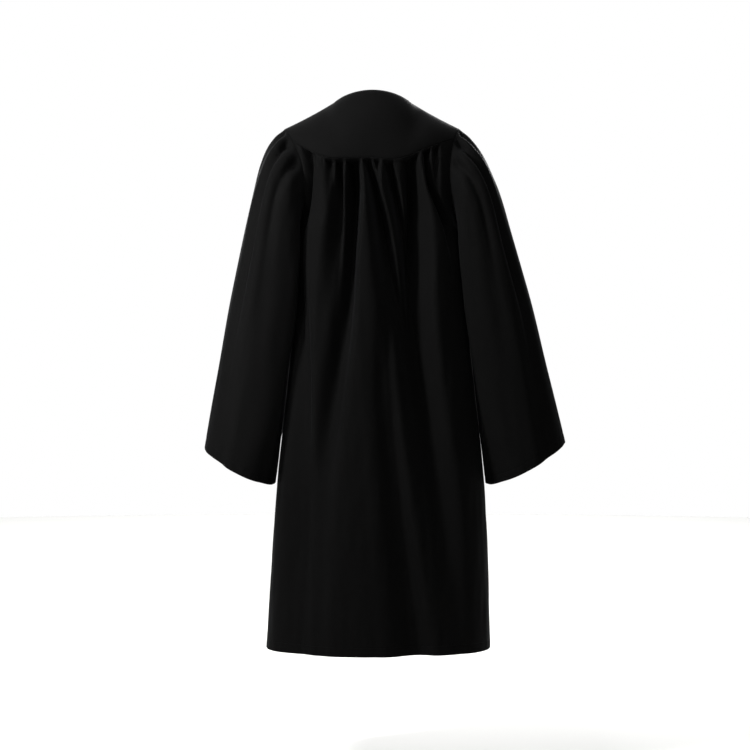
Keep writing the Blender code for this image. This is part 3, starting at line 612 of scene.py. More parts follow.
# The back yoke: a smooth shaped piece that lies over the shoulder blades. Its top edge is the neckline,
# finished with a narrow turned hem that stands up a little at the centre back, then the two shoulder
# seams. Its lower edge curves, and takes the back panel's gathers.

YOKE_NECK_SHARE = 0.42
YOKE_COLUMNS, YOKE_ROWS = 140, 26
YOKE_SMOOTHING, SMOOTHING_FADES = 30, 0.25
NECK_TURN, NECK_ROWS = 0.0007, 2
YOKE_EDGE_DEPTH, YOKE_ALLOWANCE = 0.0014, 0.005
YOKES_FACE_UP = 0.05 * STRAIGHT_UP
SHOULDER_RISE = 0.16

# How far a yoke's columns hold their first and last directions, as shares of their length. Then how
# steeply the back yoke falls where it leaves the neck: at the centre back, how much less at the neck's
# sides, and along the shoulder seam, where it levels out at this share of the seam.
YOKE_LEAVES, YOKE_ARRIVES = 0.36, 0.30
NECK_FALL, LESS_AT_SIDES, SHOULDER_FALL, LEVEL_FROM = 0.95, 0.53, 0.6, 0.7


def bezier(start, first, second, end, t):
    return (
        (1 - t) ** 3 * start
        + 3 * (1 - t) ** 2 * t * first
        + 3 * (1 - t) * t**2 * second
        + t**3 * end
    )


def armhole_loop(turn, side):
    """The armhole's loop: the turn is 0 at the shoulder, and a quarter at the back."""
    cosine, sine = np.cos(turn), np.sin(turn)
    z = (ARMHOLE_TOP + UNDERARM) / 2 + (ARMHOLE_TOP - UNDERARM) / 2 * cosine
    x = body_size("centre", z) + side * armhole_across(cosine, sine)
    return np.stack([x, np.where(sine > 0, ARMHOLE_BACK, ARMHOLE_FRONT) * sine, z], axis=-1)


def shoulder_line(share, side, face):
    """Along the shoulder seam from the neck, share 0, to the armhole, share 1."""
    tip = armhole_loop(np.array(0.0), side)
    x = side * NECK_HALF_WIDTH + (tip[0] - side * SEAM / 2 - side * NECK_HALF_WIDTH) * share
    z = tip[2] * (share + SHOULDER_RISE * share * (1 - share))
    return np.stack([x, np.full_like(x, face * BENT_SEAM / 2), z], axis=-1)


def yoke_fall(top, bottom, leave, arrive, sides):
    """A yoke's rows: each column leaves its top edge in one direction and arrives at the seam in
    another. The columns at the armhole follow its loop."""
    t = np.linspace(0.0, 1.0, YOKE_ROWS + 1)[:, None, None]
    length = np.linalg.norm(bottom - top, axis=-1, keepdims=True)
    first = top + leave * length * YOKE_LEAVES
    second = bottom - arrive * length * YOKE_ARRIVES
    rows = bezier(top[None], first[None], second[None], bottom[None], t)
    inside = ease(t / SMOOTHING_FADES) * ease((1 - t) / SMOOTHING_FADES)
    for _ in range(YOKE_SMOOTHING):
        beside = (np.roll(rows, 1, axis=1) + np.roll(rows, -1, axis=1)) / 2
        rows[:, 1:-1] += (beside - rows)[:, 1:-1] * inside / 2
    for column, loop, near in sides:
        off = loop - rows[:, column]
        rows = rows + off[:, None, :] * near[None, :, None]
    return rows


def armhole_run(side, face):
    """The armhole beside a yoke, from the shoulder seam to the yoke's own."""
    loop = armhole_loop(face * np.linspace(0.0, armhole_turn(YOKE_CORNER), YOKE_ROWS + 1), side)
    loop[:, 0] -= side * SEAM / 2
    loop[0, 1] = face * BENT_SEAM / 2
    return loop


def back_yoke():
    share = np.linspace(-1.0, 1.0, YOKE_COLUMNS + 1)
    angle, seam = back_seam(share)
    x, y, *_ = on_ring(angle, seam, 1)
    bottom = np.stack([x, y, seam], axis=-1)
    top, leave = np.zeros_like(bottom), np.zeros_like(bottom)
    for i, s in enumerate(share):
        side = math.copysign(1, s)
        if abs(s) <= YOKE_NECK_SHARE:
            about = math.pi / 2 * s / YOKE_NECK_SHARE
            top[i] = (
                NECK_HALF_WIDTH * math.sin(about),
                BENT_SEAM / 2 + NECK_BACK_DEPTH * math.cos(about),
                NECK_BACK_RISE * math.cos(about) ** 2,
            )
            aside = about / 2
            falls = NECK_FALL - LESS_AT_SIDES * math.sin(about) ** 2
        else:
            out = (abs(s) - YOKE_NECK_SHARE) / (1 - YOKE_NECK_SHARE)
            top[i] = shoulder_line(out, side, 1)
            aside = side * math.pi / 4 * (1 - ease(out / LEVEL_FROM))
            falls = SHOULDER_FALL * abs(math.sin(aside))
        leave[i] = (math.sin(aside), math.cos(aside), -falls)
    near = ease((np.abs(share) - YOKE_NECK_SHARE) / (1 - YOKE_NECK_SHARE)) ** 2
    sides = [(-1, armhole_run(1, 1), near * (share > 0)), (0, armhole_run(-1, 1), near * (share < 0))]
    return yoke_fall(top, bottom, unit(leave), np.tile(-STRAIGHT_UP, (len(share), 1)), sides)


yoke_back = back_yoke()
yoke_back_out = outward_normals(yoke_back, from_middle(yoke_back) + YOKES_FACE_UP)
seamed, seamed_out = tucked_square(yoke_back[::-1], yoke_back_out[::-1], YOKE_EDGE_DEPTH, -YOKE_ALLOWANCE)
seamed, seamed_out = turned_under(seamed[::-1], seamed_out[::-1], NECK_ROWS, NECK_TURN)
yoke_back_piece = cloth_piece("back_yoke", seamed[::-1], woven_polyester, "yoke_back")


# The front panels: two lengths of the same cloth, gathered under the short front yokes and joined by
# the zip. The neckline falls in a V to the zip's top, and its edge is turned in and stitched.

FRONT_GATHERS = (6 / 22, 9 / 22, 11 / 22, 14 / 22)
FRONT_DEPTH = (0.007, 0.010, 0.010, 0.009, 0.007, 0.006, 0.007, 0.009)
FRONT_WIDTH = (0.007, 0.008, 0.009, 0.010, 0.013, 0.018, 0.024, 0.030)
SMALL_FRONT_GATHERS = Gathers(85, (0.0008, 0.0020), (0.0020, 0.0034), (0.014, 0.045))
FRONT_SEAM_LENGTH, GATHERS_START_WITHIN = 0.20, 0.010
FRONT_COLUMNS = 120
FACING_COLUMNS = 5
NECK_ALLOWANCE, NECK_EDGE_DEPTH = 0.006, 0.0016
ZIP_WIDTH, ZIP_BOTTOM, SEAM_CLOSES_WITHIN = 0.0060, -0.9805, 0.006
V_POINT, V_SIDES = 0.8, 1.6
NECKLINE_STEPS = 400


def neckline_height(across):
    """How high the front's neckline is, at a distance from the centre front."""
    share = np.clip(across / NECK_HALF_WIDTH, 0.0, 1.0)
    return -NECK_FRONT_DROP * (1 - share**V_SIDES) ** V_POINT


def neckline_corner():
    """How far from the centre front the neckline meets the front yoke's seam."""
    across = np.linspace(0.0, NECK_HALF_WIDTH, NECKLINE_STEPS)
    return float(np.interp(YOKE_CORNER, neckline_height(across), across))


def front_panel(side):
    share = np.linspace(0.0, 1.0, FRONT_COLUMNS + 1)
    across = share * armhole_edge(YOKE_CORNER, -1)[0]
    seam = np.where(across < neckline_corner(), neckline_height(across), YOKE_CORNER) - BENT_SEAM
    heights = seam[0] + (HEM - seam[0]) * (EDGE_HEIGHTS - EDGE_HEIGHTS[0]) / (HEM - EDGE_HEIGHTS[0])
    closed = ease((ZIP_BOTTOM - heights) / SEAM_CLOSES_WITHIN)
    beside_zip = (ZIP_WIDTH / 2 + SEAM) * (1 - closed) + (SEAM + CLOTH) / 2 * closed

    def valleys(angle, z, radius, below):
        along = np.abs(angle) * radius
        total = small_gathers(along, below, SMALL_FRONT_GATHERS, FRONT_SEAM_LENGTH, seed=8 + side)
        total = total * ease((along - neckline_corner()) / GATHERS_START_WITHIN)
        depth, width = down(z, LEVELS, FRONT_DEPTH), down(z, LEVELS, FRONT_WIDTH)
        for place in FRONT_GATHERS:
            middle = side * spread(place, half_ring(z, -1)[2])
            total += depth * np.exp(-(((angle - middle) * radius / width) ** 2))
        return total

    return body_panel(share, seam, -1, side, beside_zip[:, None], valleys)


fronts, front_edges = {}, {}
for side_name, side in (("left", 1), ("right", -1)):
    front = front_panel(side)
    front_out = outward_normals(front, from_middle(front))
    fronts[side_name], front_edges[side_name] = front, front_out
    hemmed, hemmed_out = turned_under(*faced(front, front_out, FACING_COLUMNS), HEM_ROWS, HEM_TURN)
    from_centre = np.abs(hemmed[0, :, 0] - body_size("centre", hemmed[0, :, 2]))
    at_neck = from_centre < neckline_corner() + NECK_ALLOWANCE
    allowance = np.where(at_neck, -NECK_ALLOWANCE, ALLOWANCE)[:, None]
    edge_depth = np.where(at_neck, NECK_EDGE_DEPTH, ALLOWANCE_DEPTH)[:, None]
    inward = -unit(from_middle(hemmed[0]))
    leaving = unit(STRAIGHT_UP + inward * np.where(at_neck, 0.0, ALLOWANCE_LEAN)[:, None])
    hemmed, hemmed_out = tucked_in(hemmed, hemmed_out, leaving, inward * edge_depth, allowance)
    piece = cloth_piece(f"front_panel_{side_name}", hemmed, woven_polyester, f"front_{side_name}")


# The front yokes: two short shoulder pieces between the shoulder seam and the fronts' gathers. Their
# inner columns lean towards the neck and rise a little as they leave the shoulder seam, and lean more
# where they arrive below it.

FRONT_YOKE_COLUMNS = 60
LEANS_WITHIN, LEAVE_ASIDE, LEAVE_UP, ARRIVE_ASIDE = 0.5, 0.15, 0.09, 0.75


def front_yoke(side):
    share = np.linspace(0.0, 1.0, FRONT_YOKE_COLUMNS + 1)
    height = np.array(YOKE_CORNER)
    _, depth, end = half_ring(height, -1)
    first = angle_at(body_size("centre", height) + neckline_corner(), height, -1)
    angle = side * (first + (end - SEAM / 2 / depth - first) * share)
    x, y, *_ = on_ring(angle, height, -1)
    bottom = np.stack([x, y, np.full_like(x, YOKE_CORNER)], axis=-1)
    top = shoulder_line(share, side, -1)
    inner, one = 1 - ease(share / LEANS_WITHIN), np.ones_like(share)
    leave = np.stack([-side * LEAVE_ASIDE * inner, -one, LEAVE_UP * inner], axis=-1)
    arrive = np.stack([-side * ARRIVE_ASIDE * inner, 0 * one, -one], axis=-1)
    sides = [(-1, armhole_run(side, -1), ease(share) ** 2)]
    return yoke_fall(top, bottom, unit(leave), unit(arrive), sides)


front_yokes, front_yokes_out = {}, {}
for side_name, side in (("left", 1), ("right", -1)):
    yoke = front_yoke(side)
    front_yokes[side_name] = yoke
    yoke_out = outward_normals(yoke, from_middle(yoke) + YOKES_FACE_UP)
    front_yokes_out[side_name] = yoke_out
    seamed, seamed_out = faced(yoke, yoke_out, NECK_ROWS)
    seamed, seamed_out = tucked_square(seamed[::-1], seamed_out[::-1], YOKE_EDGE_DEPTH, -YOKE_ALLOWANCE)
    seamed, _ = tucked_square(seamed[::-1], seamed_out[::-1], ALLOWANCE_DEPTH, ALLOWANCE)
    piece = cloth_piece(f"front_yoke_{side_name}", seamed, woven_polyester, f"yoke_front_{side_name}")


# The sleeves: bells cut in one piece each, with a few gathers where the head is eased into the armhole.
# They hang from the shoulder clear of the body, and open to a wide slanting cuff, which is turned up
# once and stitched like the hem.

# Rings from the armhole to the cuff: the ring's outer and inner ends from the body's middle, its reach
# to the back and front, how far it is drawn in, how much lower its back and front hang, and how far its
# inner side laps round the body.
Ring = namedtuple("Ring", "outer outer_height inner inner_height back front drawn_in dip lap")
SLEEVE = (
    Ring(
        ARMHOLE_OUT, ARMHOLE_TOP, ARMHOLE_IN, UNDERARM, ARMHOLE_BACK, ARMHOLE_FRONT, ARMHOLE_DRAWN_IN, 0, 0
    ),
    Ring(0.217, -0.083, 0.183, -0.318, 0.108, 0.096, 0.014, 0.001, 0.010),
    Ring(0.245, -0.124, 0.1845, -0.365, 0.117, 0.105, 0.004, 0.002, 0.020),
    Ring(0.270, -0.190, 0.1875, -0.425, 0.119, 0.108, 0.000, 0.003, 0.025),
    Ring(0.297, -0.295, 0.194, -0.510, 0.121, 0.111, 0.000, 0.005, 0.027),
    Ring(0.330, -0.440, 0.2065, -0.615, 0.124, 0.115, 0.000, 0.007, 0.026),
    Ring(0.360, -0.605, 0.2195, -0.735, 0.127, 0.119, 0.000, 0.010, 0.022),
    Ring(0.3885, -0.766, 0.2335, -0.846, 0.129, 0.122, 0.000, 0.013, 0.006),
)
LAP_TURN, LAP_WIDTH = 128.0, 20.0
SLEEVE_ROUNDNESS, ROUND_WITHIN = 2.5, 0.3

# The right sleeve swings out a little at its cuff, by so much at these shares of its length, and hangs
# higher there.
SWING_AT, RIGHT_SWING = (0.0, 0.3, 0.65, 1.0), (0.0, -0.006, -0.004, 0.018)
RIGHT_LIFT = 0.014

# Folds of a sleeve: the place round the ring in degrees (0 outer, 90 back, 180 inner, 270 front) and
# the depth, each at the head, at mid length and at the cuff, then the half width in degrees.
FOLD_AT, FOLDS_START_WITHIN = (0.0, 0.5, 1.0), 0.06
SleeveFold = namedtuple("SleeveFold", "place depth width")
SLEEVE_FOLDS = (
    SleeveFold((44, 46, 52), (0.016, 0.014, 0.003), (7, 9, 11)),
    SleeveFold((20, 18, 16), (0.012, 0.000, 0.000), (6, 8, 8)),
    SleeveFold((70, 84, 100), (0.012, 0.006, 0.000), (6, 9, 12)),
    SleeveFold((120, 124, 128), (0.000, 0.003, 0.010), (12, 14, 14)),
    SleeveFold((60, 62, 66), (0.000, 0.000, 0.009), (10, 11, 11)),
    SleeveFold((316, 314, 308), (0.006, 0.008, 0.003), (10, 12, 14)),
    SleeveFold((288, 276, 262), (0.005, 0.005, 0.005), (9, 12, 14)),
    SleeveFold((240, 238, 232), (0.000, 0.004, 0.007), (12, 14, 16)),
)
SLEEVE_LENGTH, SLEEVE_RADIUS = 0.80, 0.11
CUFF_STITCH = 0.015
SLEEVE_ALLOWANCE_DEPTH = 0.0045
CUFF_TURN, CUFF_ROWS = 0.0009, 6
SLEEVE_STEPS = np.concatenate([
    np.linspace(0.0, 0.060, 22),
    np.linspace(0.065, SLEEVE_LENGTH - 0.030, 92),
    SLEEVE_LENGTH - np.array([0.024, 0.0195, 0.018, 0.0165, 0.015, 0.0135, 0.010, 0.006, 0.003, 0.0]),
])


def sleeve_size(column, t):
    return through(t, np.linspace(0.0, 1.0, len(SLEEVE)), [getattr(row, column) for row in SLEEVE])


def sleeve_ring(turn, t, side):
    """A point of the sleeve before its folds: the turn is 0 outside, a quarter at the back."""
    squared = 2 / (2 + (SLEEVE_ROUNDNESS - 2) * ease(t / ROUND_WITHIN))
    cosine = np.sign(np.cos(turn)) * np.abs(np.cos(turn)) ** squared
    sine = np.sign(np.sin(turn)) * np.abs(np.sin(turn)) ** squared
    outer, inner = sleeve_size("outer", t), sleeve_size("inner", t)
    high, low = sleeve_size("outer_height", t), sleeve_size("inner_height", t)
    if side < 0:
        outer = outer + through(t, SWING_AT, RIGHT_SWING)
        high = high + RIGHT_LIFT * t**2
    across = (outer + inner) / 2 + (outer - inner) / 2 * cosine
    across = across - sleeve_size("drawn_in", t) * sine**2
    from_inner = np.abs(np.degrees(turn) - 180)
    across = across - sleeve_size("lap", t) * np.exp(-(((from_inner - 180 + LAP_TURN) / LAP_WIDTH) ** 2))
    depth = np.where(sine > 0, sleeve_size("back", t), sleeve_size("front", t))
    z = (high + low) / 2 + (high - low) / 2 * cosine - sleeve_size("dip", t) * sine**2
    return np.stack([body_size("centre", z) + side * across, depth * sine, z], axis=-1)


def at_armhole(edge, inside, side):
    """The directions at each point of the armhole: along it, on from the body's cloth, and outwards."""
    along = unit(np.roll(edge, -1, axis=0) - np.roll(edge, 1, axis=0))
    onward = square_to(edge - inside, along)
    return along, onward, unit(side * np.cross(onward, along))


def sleeve_allowance(edge, inside, side):
    """The sleeve's seam allowance: rows of points on the inside of the body's edge."""
    _, onward, outward = at_armhole(edge, inside, side)
    under = edge - outward * SLEEVE_ALLOWANCE_DEPTH
    return np.stack([under - onward * ALLOWANCE, under - onward * ALLOWANCE / 2, under])


def armhole_gap(edge, inside, ring, side):
    """How far the sleeve's first row stands off the armhole, so that its wall clears the body's wall
    at whatever angle the two meet there."""
    along, onward, outward = at_armhole(edge, inside, side)
    leaving = square_to(ring - edge, along)
    forward, up = (leaving * onward).sum(-1, keepdims=True), (leaving * outward).sum(-1, keepdims=True)
    straight = leaving * (SEAM + CLOTH / 2 * np.abs(up))
    folded = outward * (BENT_SEAM + CLOTH / 2 * (1 - forward))
    return np.where(forward > 0, straight, folded)


def around_armhole(side, pieces, inwards):
    """The pieces' edges at one armhole as a loop in the order of the sleeve's turns, or with inwards
    1 the points next to those edges."""
    back, front, yoke_back, yoke_front = pieces
    back_column = -1 - inwards if side > 0 else inwards
    end = int((EDGE_HEIGHTS > UNDERARM).sum())
    behind = np.concatenate([yoke_back[:, back_column], back[1:end, back_column]])
    before = np.concatenate([yoke_front[:, -1 - inwards], front[1:end, -1 - inwards]])
    shoulder = (behind[:1] + before[:1]) / 2
    return np.concatenate([shoulder, behind[1:], front[end + inwards, -1:], before[:0:-1]])


def sleeve_panel(side, pieces):
    by_yoke = np.linspace(0.0, armhole_turn(YOKE_CORNER), YOKE_ROWS + 1)
    by_panel = armhole_turn(EDGE_HEIGHTS[1:][EDGE_HEIGHTS[1:] >= UNDERARM])
    half = np.concatenate([by_yoke, by_panel])
    turn = np.concatenate([half, 2 * math.pi - half[-2:0:-1]])[None, :]
    turn, t = np.broadcast_arrays(turn, (SLEEVE_STEPS / SLEEVE_LENGTH)[:, None])
    points = sleeve_ring(turn, t, side)
    step = 1e-4
    beyond, before = np.minimum(t + step, 1), np.maximum(t - step, 0)
    along = sleeve_ring(turn, beyond, side) - sleeve_ring(turn, before, side)
    about = sleeve_ring(turn + step, t, side) - sleeve_ring(turn - step, t, side)
    outward = unit(side * np.cross(along, about))
    depth = np.zeros_like(t)
    for fold in SLEEVE_FOLDS:
        place, deepest, width = (through(t, FOLD_AT, row) for row in fold)
        off = (np.degrees(turn) - place + 180) % 360 - 180
        deepest = np.maximum(deepest, 0)
        depth = depth + deepest * np.exp(-((off / width) ** 2))
    down_sleeve, about_arm = t * SLEEVE_LENGTH, turn * SLEEVE_RADIUS
    depth = depth - unevenness(about_arm, down_sleeve, UNEVEN, seed=41 + side)
    depth = depth * ease(t / FOLDS_START_WITHIN)
    depth = depth + hem_groove(SLEEVE_LENGTH - down_sleeve, CUFF_STITCH, about_arm, seed=47)
    points = points - outward * depth[..., None]
    edge, inside = around_armhole(side, pieces, 0), around_armhole(side, pieces, 1)
    points = points + armhole_gap(edge, inside, points[1], side)[None] * (1 - t)[..., None]
    under = sleeve_allowance(edge, inside, side)
    points = np.concatenate([under, points])
    outward = np.concatenate([outward[:1]] * len(under) + [outward])
    seam = half.size - 1
    order = np.concatenate([np.arange(seam, turn.shape[1]), np.arange(seam + 1)])
    return points[:, order], outward[:, order]


sleeves = {}
for side_name, side in (("left", 1), ("right", -1)):
    pieces = (back, fronts[side_name], yoke_back, front_yokes[side_name])
    sleeve, outside = sleeve_panel(side, pieces)
    sleeve_out = outward_normals(sleeve, outside)
    sleeves[side_name] = sleeve, sleeve_out
    hemmed, hemmed_out = turned_under(sleeve, sleeve_out, CUFF_ROWS, CUFF_TURN)
    piece = cloth_piece(f"bell_sleeve_{side_name}", hemmed, woven_polyester, f"sleeve_{side_name}")


# The stitching: straight lines of small black lockstitches, each a short piece of thread that dips into
# the cloth at both ends. They run round the hem and the cuffs, along the neckline, and beside the zip.

STITCH, STITCH_GAP, THREAD = 0.0026, 0.0007, 0.00034
THREAD_PROUD, THREAD_DIP = 0.25, 0.6
ZIP_STITCH, NECK_STITCH = 0.0085, 0.0050

# A rod's rings: each one's place along it, its fullness, and its share of the ends' dip.
ROD_SIDES = 6
ROD_RINGS = ((-0.5, 0.45, 1.0), (-0.30, 1.0, 0.0), (0.30, 1.0, 0.0), (0.5, 0.45, 1.0))

polyester_thread, tree, shader = new_material(
    "polyester_thread",
    {"Base Color": linear("#121212"), "Roughness": 0.5, "Specular IOR Level": 0.05},
)
ground = add_node(tree, "ShaderNodeTexCoord").outputs["Object"]
twist = bands(tree, ground, "DIAGONAL", scale=400.0, distortion=1.0)
tree.links.new(bump(tree, {"Height": twist}, strength=0.5, distance=0.00005), shader.inputs["Normal"])


def rods(name, finish, middles, along, up, length, thickness, ends_dip):
    """Short round rods in one mesh, such as stitches, each with its ends bent down."""
    along = unit(along)
    up = square_to(up, along)
    aside = np.cross(along, up)
    around = 2 * math.pi * np.arange(ROD_SIDES) / ROD_SIDES
    rings = []
    for place, fullness, dip in ROD_RINGS:
        middle = middles + along * length * place - up * ends_dip * dip
        for a in around:
            rings.append(middle + (aside * math.cos(a) + up * math.sin(a)) * thickness / 2 * fullness)
    points = np.stack(rings, axis=1)
    each = points.shape[1]
    quads = [
        (ring * ROD_SIDES + k, ring * ROD_SIDES + (k + 1) % ROD_SIDES,
         (ring + 1) * ROD_SIDES + (k + 1) % ROD_SIDES, (ring + 1) * ROD_SIDES + k)
        for ring in range(len(ROD_RINGS) - 1)
        for k in range(ROD_SIDES)
    ]
    caps = [tuple(range(ROD_SIDES))[::-1], tuple(range(each - ROD_SIDES, each))]
    faces = [[i * each + v for v in face] for i in range(len(middles)) for face in quads + caps]
    made = add_object(name, smooth_mesh(name, points, faces, finish))
    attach(made, "gown")
    return made


def evenly_along(path, outward, step):
    """Places this far apart along a path, with their directions and the cloth's normals there."""
    run = np.concatenate([[0.0], np.cumsum(strides(path))])
    count = int(run[-1] / step)
    at = (np.arange(count) + 0.5) * run[-1] / count

    def read(table, where):
        return np.stack([np.interp(where, run, table[:, k]) for k in range(3)], axis=-1)

    ahead, behind = np.minimum(at + step / 2, run[-1]), np.maximum(at - step / 2, 0.0)
    return read(path, at), read(path, ahead) - read(path, behind), read(outward, at)


def in_from_edge(points, outward, distance):
    """The path that keeps this distance from a sheet's first row."""
    run = np.cumsum(strides(points), axis=0)
    rows = np.arange(1, len(run) + 1)
    row = np.array([np.interp(distance, run[:, column], rows) for column in range(run.shape[1])])
    low = row.astype(int)
    part, column = (row - low)[:, None], np.arange(run.shape[1])
    path = points[low, column] * (1 - part) + points[low + 1, column] * part
    return path, outward[low, column]


def stitched(name, path, outward):
    """A line of stitches on the outside of the cloth."""
    middles, along, up = evenly_along(path, outward, STITCH + STITCH_GAP)
    middles = middles + unit(up) * (CLOTH / 2 + THREAD * THREAD_PROUD)
    made = rods(name, polyester_thread, middles, along, up, STITCH, THREAD, THREAD * THREAD_DIP)


hem_row = int(np.abs(EDGE_HEIGHTS - HEM - HEM_STITCH).argmin())
cuff_row = int(np.abs(SLEEVE_LENGTH - SLEEVE_STEPS - CUFF_STITCH).argmin()) - len(SLEEVE_STEPS)
neck_share = np.abs(np.linspace(-1.0, 1.0, YOKE_COLUMNS + 1)) <= YOKE_NECK_SHARE
stitched("hem_stitches_back", back[hem_row], back_out[hem_row])
neck_path = in_from_edge(yoke_back[:, neck_share], yoke_back_out[:, neck_share], NECK_STITCH)
stitched("neck_stitches_back", *neck_path)
zip_rows = slice(0, int((fronts["left"][:, 0, 2] > ZIP_BOTTOM).sum()))
by_neck = np.linspace(0.0, armhole_edge(YOKE_CORNER, -1)[0], FRONT_COLUMNS + 1) < neckline_corner()
for side_name in ("left", "right"):
    front, front_out = fronts[side_name], front_edges[side_name]
    sleeve, sleeve_out = sleeves[side_name]
    yoke, yoke_out = front_yokes[side_name], front_yokes_out[side_name]
    neck_path = in_from_edge(front[:, by_neck], front_out[:, by_neck], NECK_STITCH)
    stitched(f"neck_stitches_{side_name}", *neck_path)
    neck_path = in_from_edge(yoke.transpose(1, 0, 2), yoke_out.transpose(1, 0, 2), NECK_STITCH)
    stitched(f"yoke_stitches_{side_name}", *neck_path)
    stitched(f"hem_stitches_{side_name}", front[hem_row], front_out[hem_row])
    stitched(f"cuff_stitches_{side_name}", sleeve[cuff_row], sleeve_out[cuff_row])
    beside = front.transpose(1, 0, 2)[:, zip_rows], front_out.transpose(1, 0, 2)[:, zip_rows]
    stitched(f"zip_stitches_{side_name}", *in_from_edge(*beside, ZIP_STITCH))


# The zip: two black woven tapes behind the turned front edges, and a closed nylon coil between them,
# whose turns mesh like fine ribs. The slider and its pull are cast metal with a black enamel. The left
# tape laps past the middle, the right one starts this far beyond its edge, and both stop a row short
# of the hem.

TAPE_WIDTH, TAPE_THICKNESS, TAPE_BEHIND, TAPES_APART = 0.0136, 0.0005, 0.0034, 0.0008
TAPES_LAP, TAPE_STARTS_BELOW, TAPE_ENDS_ABOVE_HEM = 0.0030, 0.010, 1
TAPE_POINTS_ACROSS = 7
RIB, RIB_THICKNESS, RIBS_APART, RIB_SHIFT, RIB_TILT = 0.0036, 0.00085, 0.00115, 0.0006, 0.12
RIB_SUNK, RIB_DIP = 0.2, 0.45

zip_nylon, tree, shader = new_material(
    "zip_nylon", {"Base Color": linear("#0f0f10"), "Roughness": 0.42, "Specular IOR Level": 0.25}
)
ground = add_node(tree, "ShaderNodeTexCoord").outputs["Object"]
grain = noise(tree, ground, scale=900.0, detail=2.0)
tree.links.new(between(tree, grain, low=0.34, high=0.52), shader.inputs["Roughness"])
tree.links.new(bump(tree, {"Height": grain}, strength=0.2, distance=0.00005), shader.inputs["Normal"])

edges = [fronts[name][zip_rows, 0] for name in ("left", "right")]
chain = (edges[0] + edges[1]) / 2
chain_out = unit(front_edges["left"][zip_rows, 0] + front_edges["right"][zip_rows, 0])
middles, along, up = evenly_along(chain, chain_out, RIBS_APART)
aside = unit(np.cross(unit(along), unit(up)))
turns = np.where(np.arange(len(middles)) % 2 == 0, 1.0, -1.0)[:, None]
coil = rods(
    "zip_coil",
    zip_nylon,
    middles + aside * turns * RIB_SHIFT - unit(up) * RIB_THICKNESS * RIB_SUNK,
    aside + unit(along) * turns * RIB_TILT,
    up,
    RIB,
    RIB_THICKNESS,
    RIB_THICKNESS * RIB_DIP,
)
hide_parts("zip_chain")

# Both tapes carry on down behind the closed seam, so that no light comes through it.
edges = [fronts[name][:-TAPE_ENDS_ABOVE_HEM, 0] for name in ("left", "right")]
chain = (edges[0] + edges[1]) / 2
chain_out = unit(sum(front_edges[name][:-TAPE_ENDS_ABOVE_HEM, 0] for name in ("left", "right")))
tape_starts = int((chain[0, 2] - chain[:, 2] < TAPE_STARTS_BELOW).sum())
chain, chain_out = chain[tape_starts:], chain_out[tape_starts:]
tape_down = unit(np.gradient(chain, axis=0))
tape_aside = unit(np.cross(chain_out, tape_down))
for side_name, side, first in (("left", 1, -TAPES_LAP), ("right", -1, TAPES_LAP + TAPES_APART)):
    across_tape = np.linspace(first, TAPE_WIDTH, TAPE_POINTS_ACROSS)
    strip = [chain + tape_aside * side * p - chain_out * TAPE_BEHIND for p in across_tape]
    tape = cloth_piece(f"zip_tape_{side_name}", np.stack(strip, axis=1), zip_nylon, "zip_chain")
    tape.modifiers["wall"].thickness = TAPE_THICKNESS

enamel, tree, shader = new_material(
    "black_enamel",
    {"Base Color": linear("#101011"), "Roughness": 0.22, "Specular IOR Level": 0.5, "Coat Weight": 0.3},
)
ground = add_node(tree, "ShaderNodeTexCoord").outputs["Object"]
wear = noise(tree, ground, scale=260.0, detail=4.0)
tree.links.new(between(tree, wear, low=0.16, high=0.34), shader.inputs["Roughness"])
for name in ("zip_slider", "zip_pull"):
    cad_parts[name].data.materials.clear()
    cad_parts[name].data.materials.append(enamel)


# The room: a pale floor, as far under the hem as it is under a standing wearer's gown, and soft light.
# The main light is a near softbox on the camera's left and rather high, because the photo's ridges are
# bright on their left flanks, their right flanks fall into shade, and the gown is darker lower down.

SHOULDERS_UP = 1.46
ROOM_LIGHT, ROOM_SEEN = 0.015, 1.0
FLOOR_RADIUS = 8.0

bpy.context.scene.view_settings.view_transform = "Standard"

floor_mesh = bpy.data.meshes.new("studio_floor")
floor_shape = bmesh.new()
bmesh.ops.create_circle(floor_shape, cap_ends=True, radius=FLOOR_RADIUS, segments=96)
floor_shape.to_mesh(floor_mesh)
floor_shape.free()
floor = add_object("studio_floor", floor_mesh)
floor.location = (0.0, 0.0, -SHOULDERS_UP)
painted, tree, shader = new_material("painted_floor", {"Base Color": linear("#f2f2f0"), "Roughness": 0.8})
floor_mesh.materials.append(painted)

world = bpy.data.worlds.new("studio")
world.use_nodes = True
bpy.context.scene.world = world
backdrop = world.node_tree.nodes["Background"]
backdrop.inputs["Color"].default_value = (1.0, 1.0, 1.0, 1.0)
to_camera = add_node(world.node_tree, "ShaderNodeLightPath").outputs["Is Camera Ray"]
strength = between(world.node_tree, to_camera, ROOM_LIGHT, ROOM_SEEN)
world.node_tree.links.new(strength, backdrop.inputs["Strength"])


def softbox(name, place, towards, size, power, spread=180):
    """A rectangular light with its place, what it points at, its two sides and its power in watts. The
    spread, in degrees, is narrow for one with a grid in front."""
    light = bpy.data.lights.new(name, "AREA")
    light.spread = math.radians(spread)
    light.shape = "RECTANGLE"
    light.size, light.size_y = size
    light.energy = power
    made = add_object(name, light)
    made.location = place
    made.rotation_mode = "QUATERNION"
    made.rotation_quaternion = (Vector(towards) - Vector(place)).to_track_quat("-Z", "Y")


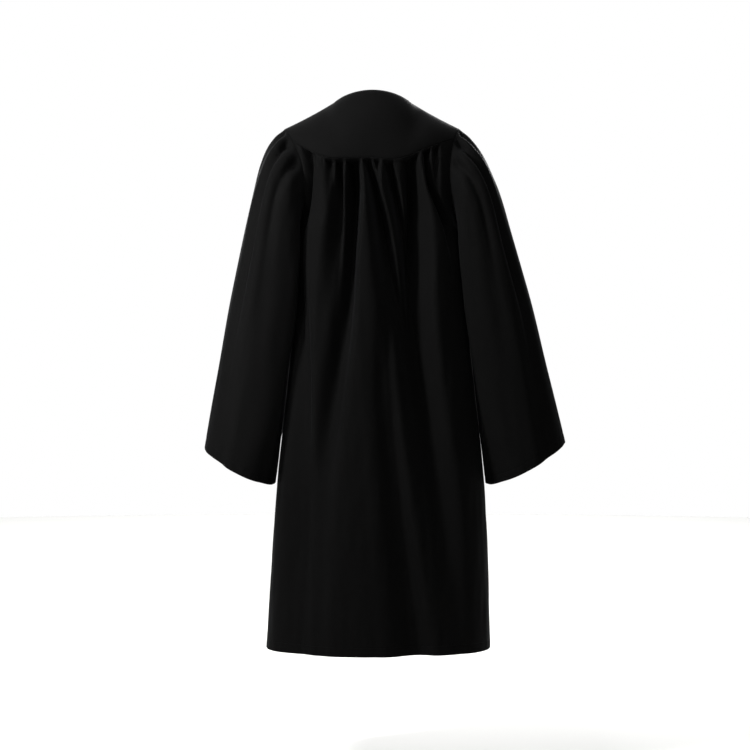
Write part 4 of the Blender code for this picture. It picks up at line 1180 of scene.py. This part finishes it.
softbox("main_softbox", (1.35, 0.95, 0.45), (0.0, 0.1, -0.3), (0.3, 0.4), 33)
softbox("fill_softbox", (0.5, 3.6, 0.4), (0.0, 0.1, -0.6), (1.0, 1.0), 2)
softbox("sleeve_softbox", (0.72, 1.1, -0.45), (0.33, 0.12, -0.45), (0.08, 0.7), 0.3, spread=24)
softbox("top_softbox", (0.1, 0.6, 1.2), (0.0, 0.05, -0.2), (0.5, 0.5), 11)
softbox("front_softbox", (-0.7, -2.0, 0.6), (0.0, -0.1, -0.45), (0.5, 0.7), 34)
softbox("front_fill_softbox", (0.9, -3.2, 0.4), (0.0, -0.1, -0.6), (1.0, 1.0), 26)
softbox("floor_softbox", (0.0, -5.5, 2.6), (0.0, -5.5, 0.0), (8.0, 8.0), 520)
softbox("floor_softbox_left", (5.6, 0.0, 2.6), (5.6, 0.0, 0.0), (5.0, 12.0), 80, spread=70)
softbox("floor_softbox_right", (-5.6, 0.0, 2.6), (-5.6, 0.0, 0.0), (5.0, 12.0), 80, spread=70)
softbox("floor_softbox_near", (0.0, 6.6, 2.6), (0.0, 6.6, 0.0), (8.0, 6.0), 50, spread=70)


# The camera, level and straight behind the gown, as far away and as long as the photo's perspective.
CAMERA_AWAY = 4.5
FOCAL_PIXELS, PHOTO_PIXELS = 2032.0, 750.0
ORIGIN_COLUMN, MIDDLE_ROW, MIDDLE_HEIGHT = 372.5, 373.5, -0.6035
SENSOR = 36.0

metres_a_pixel = CAMERA_AWAY / FOCAL_PIXELS
camera = bpy.data.cameras.new("camera")
camera.sensor_width = SENSOR
camera.lens = SENSOR * FOCAL_PIXELS / PHOTO_PIXELS
camera_object = add_object("camera", camera)
camera_object.location = (
    (ORIGIN_COLUMN - PHOTO_PIXELS / 2) * metres_a_pixel,
    CAMERA_AWAY,
    MIDDLE_HEIGHT - (PHOTO_PIXELS / 2 - MIDDLE_ROW) * metres_a_pixel,
)
camera_object.rotation_euler = (math.pi / 2, 0.0, math.pi)
bpy.context.scene.camera = camera_object
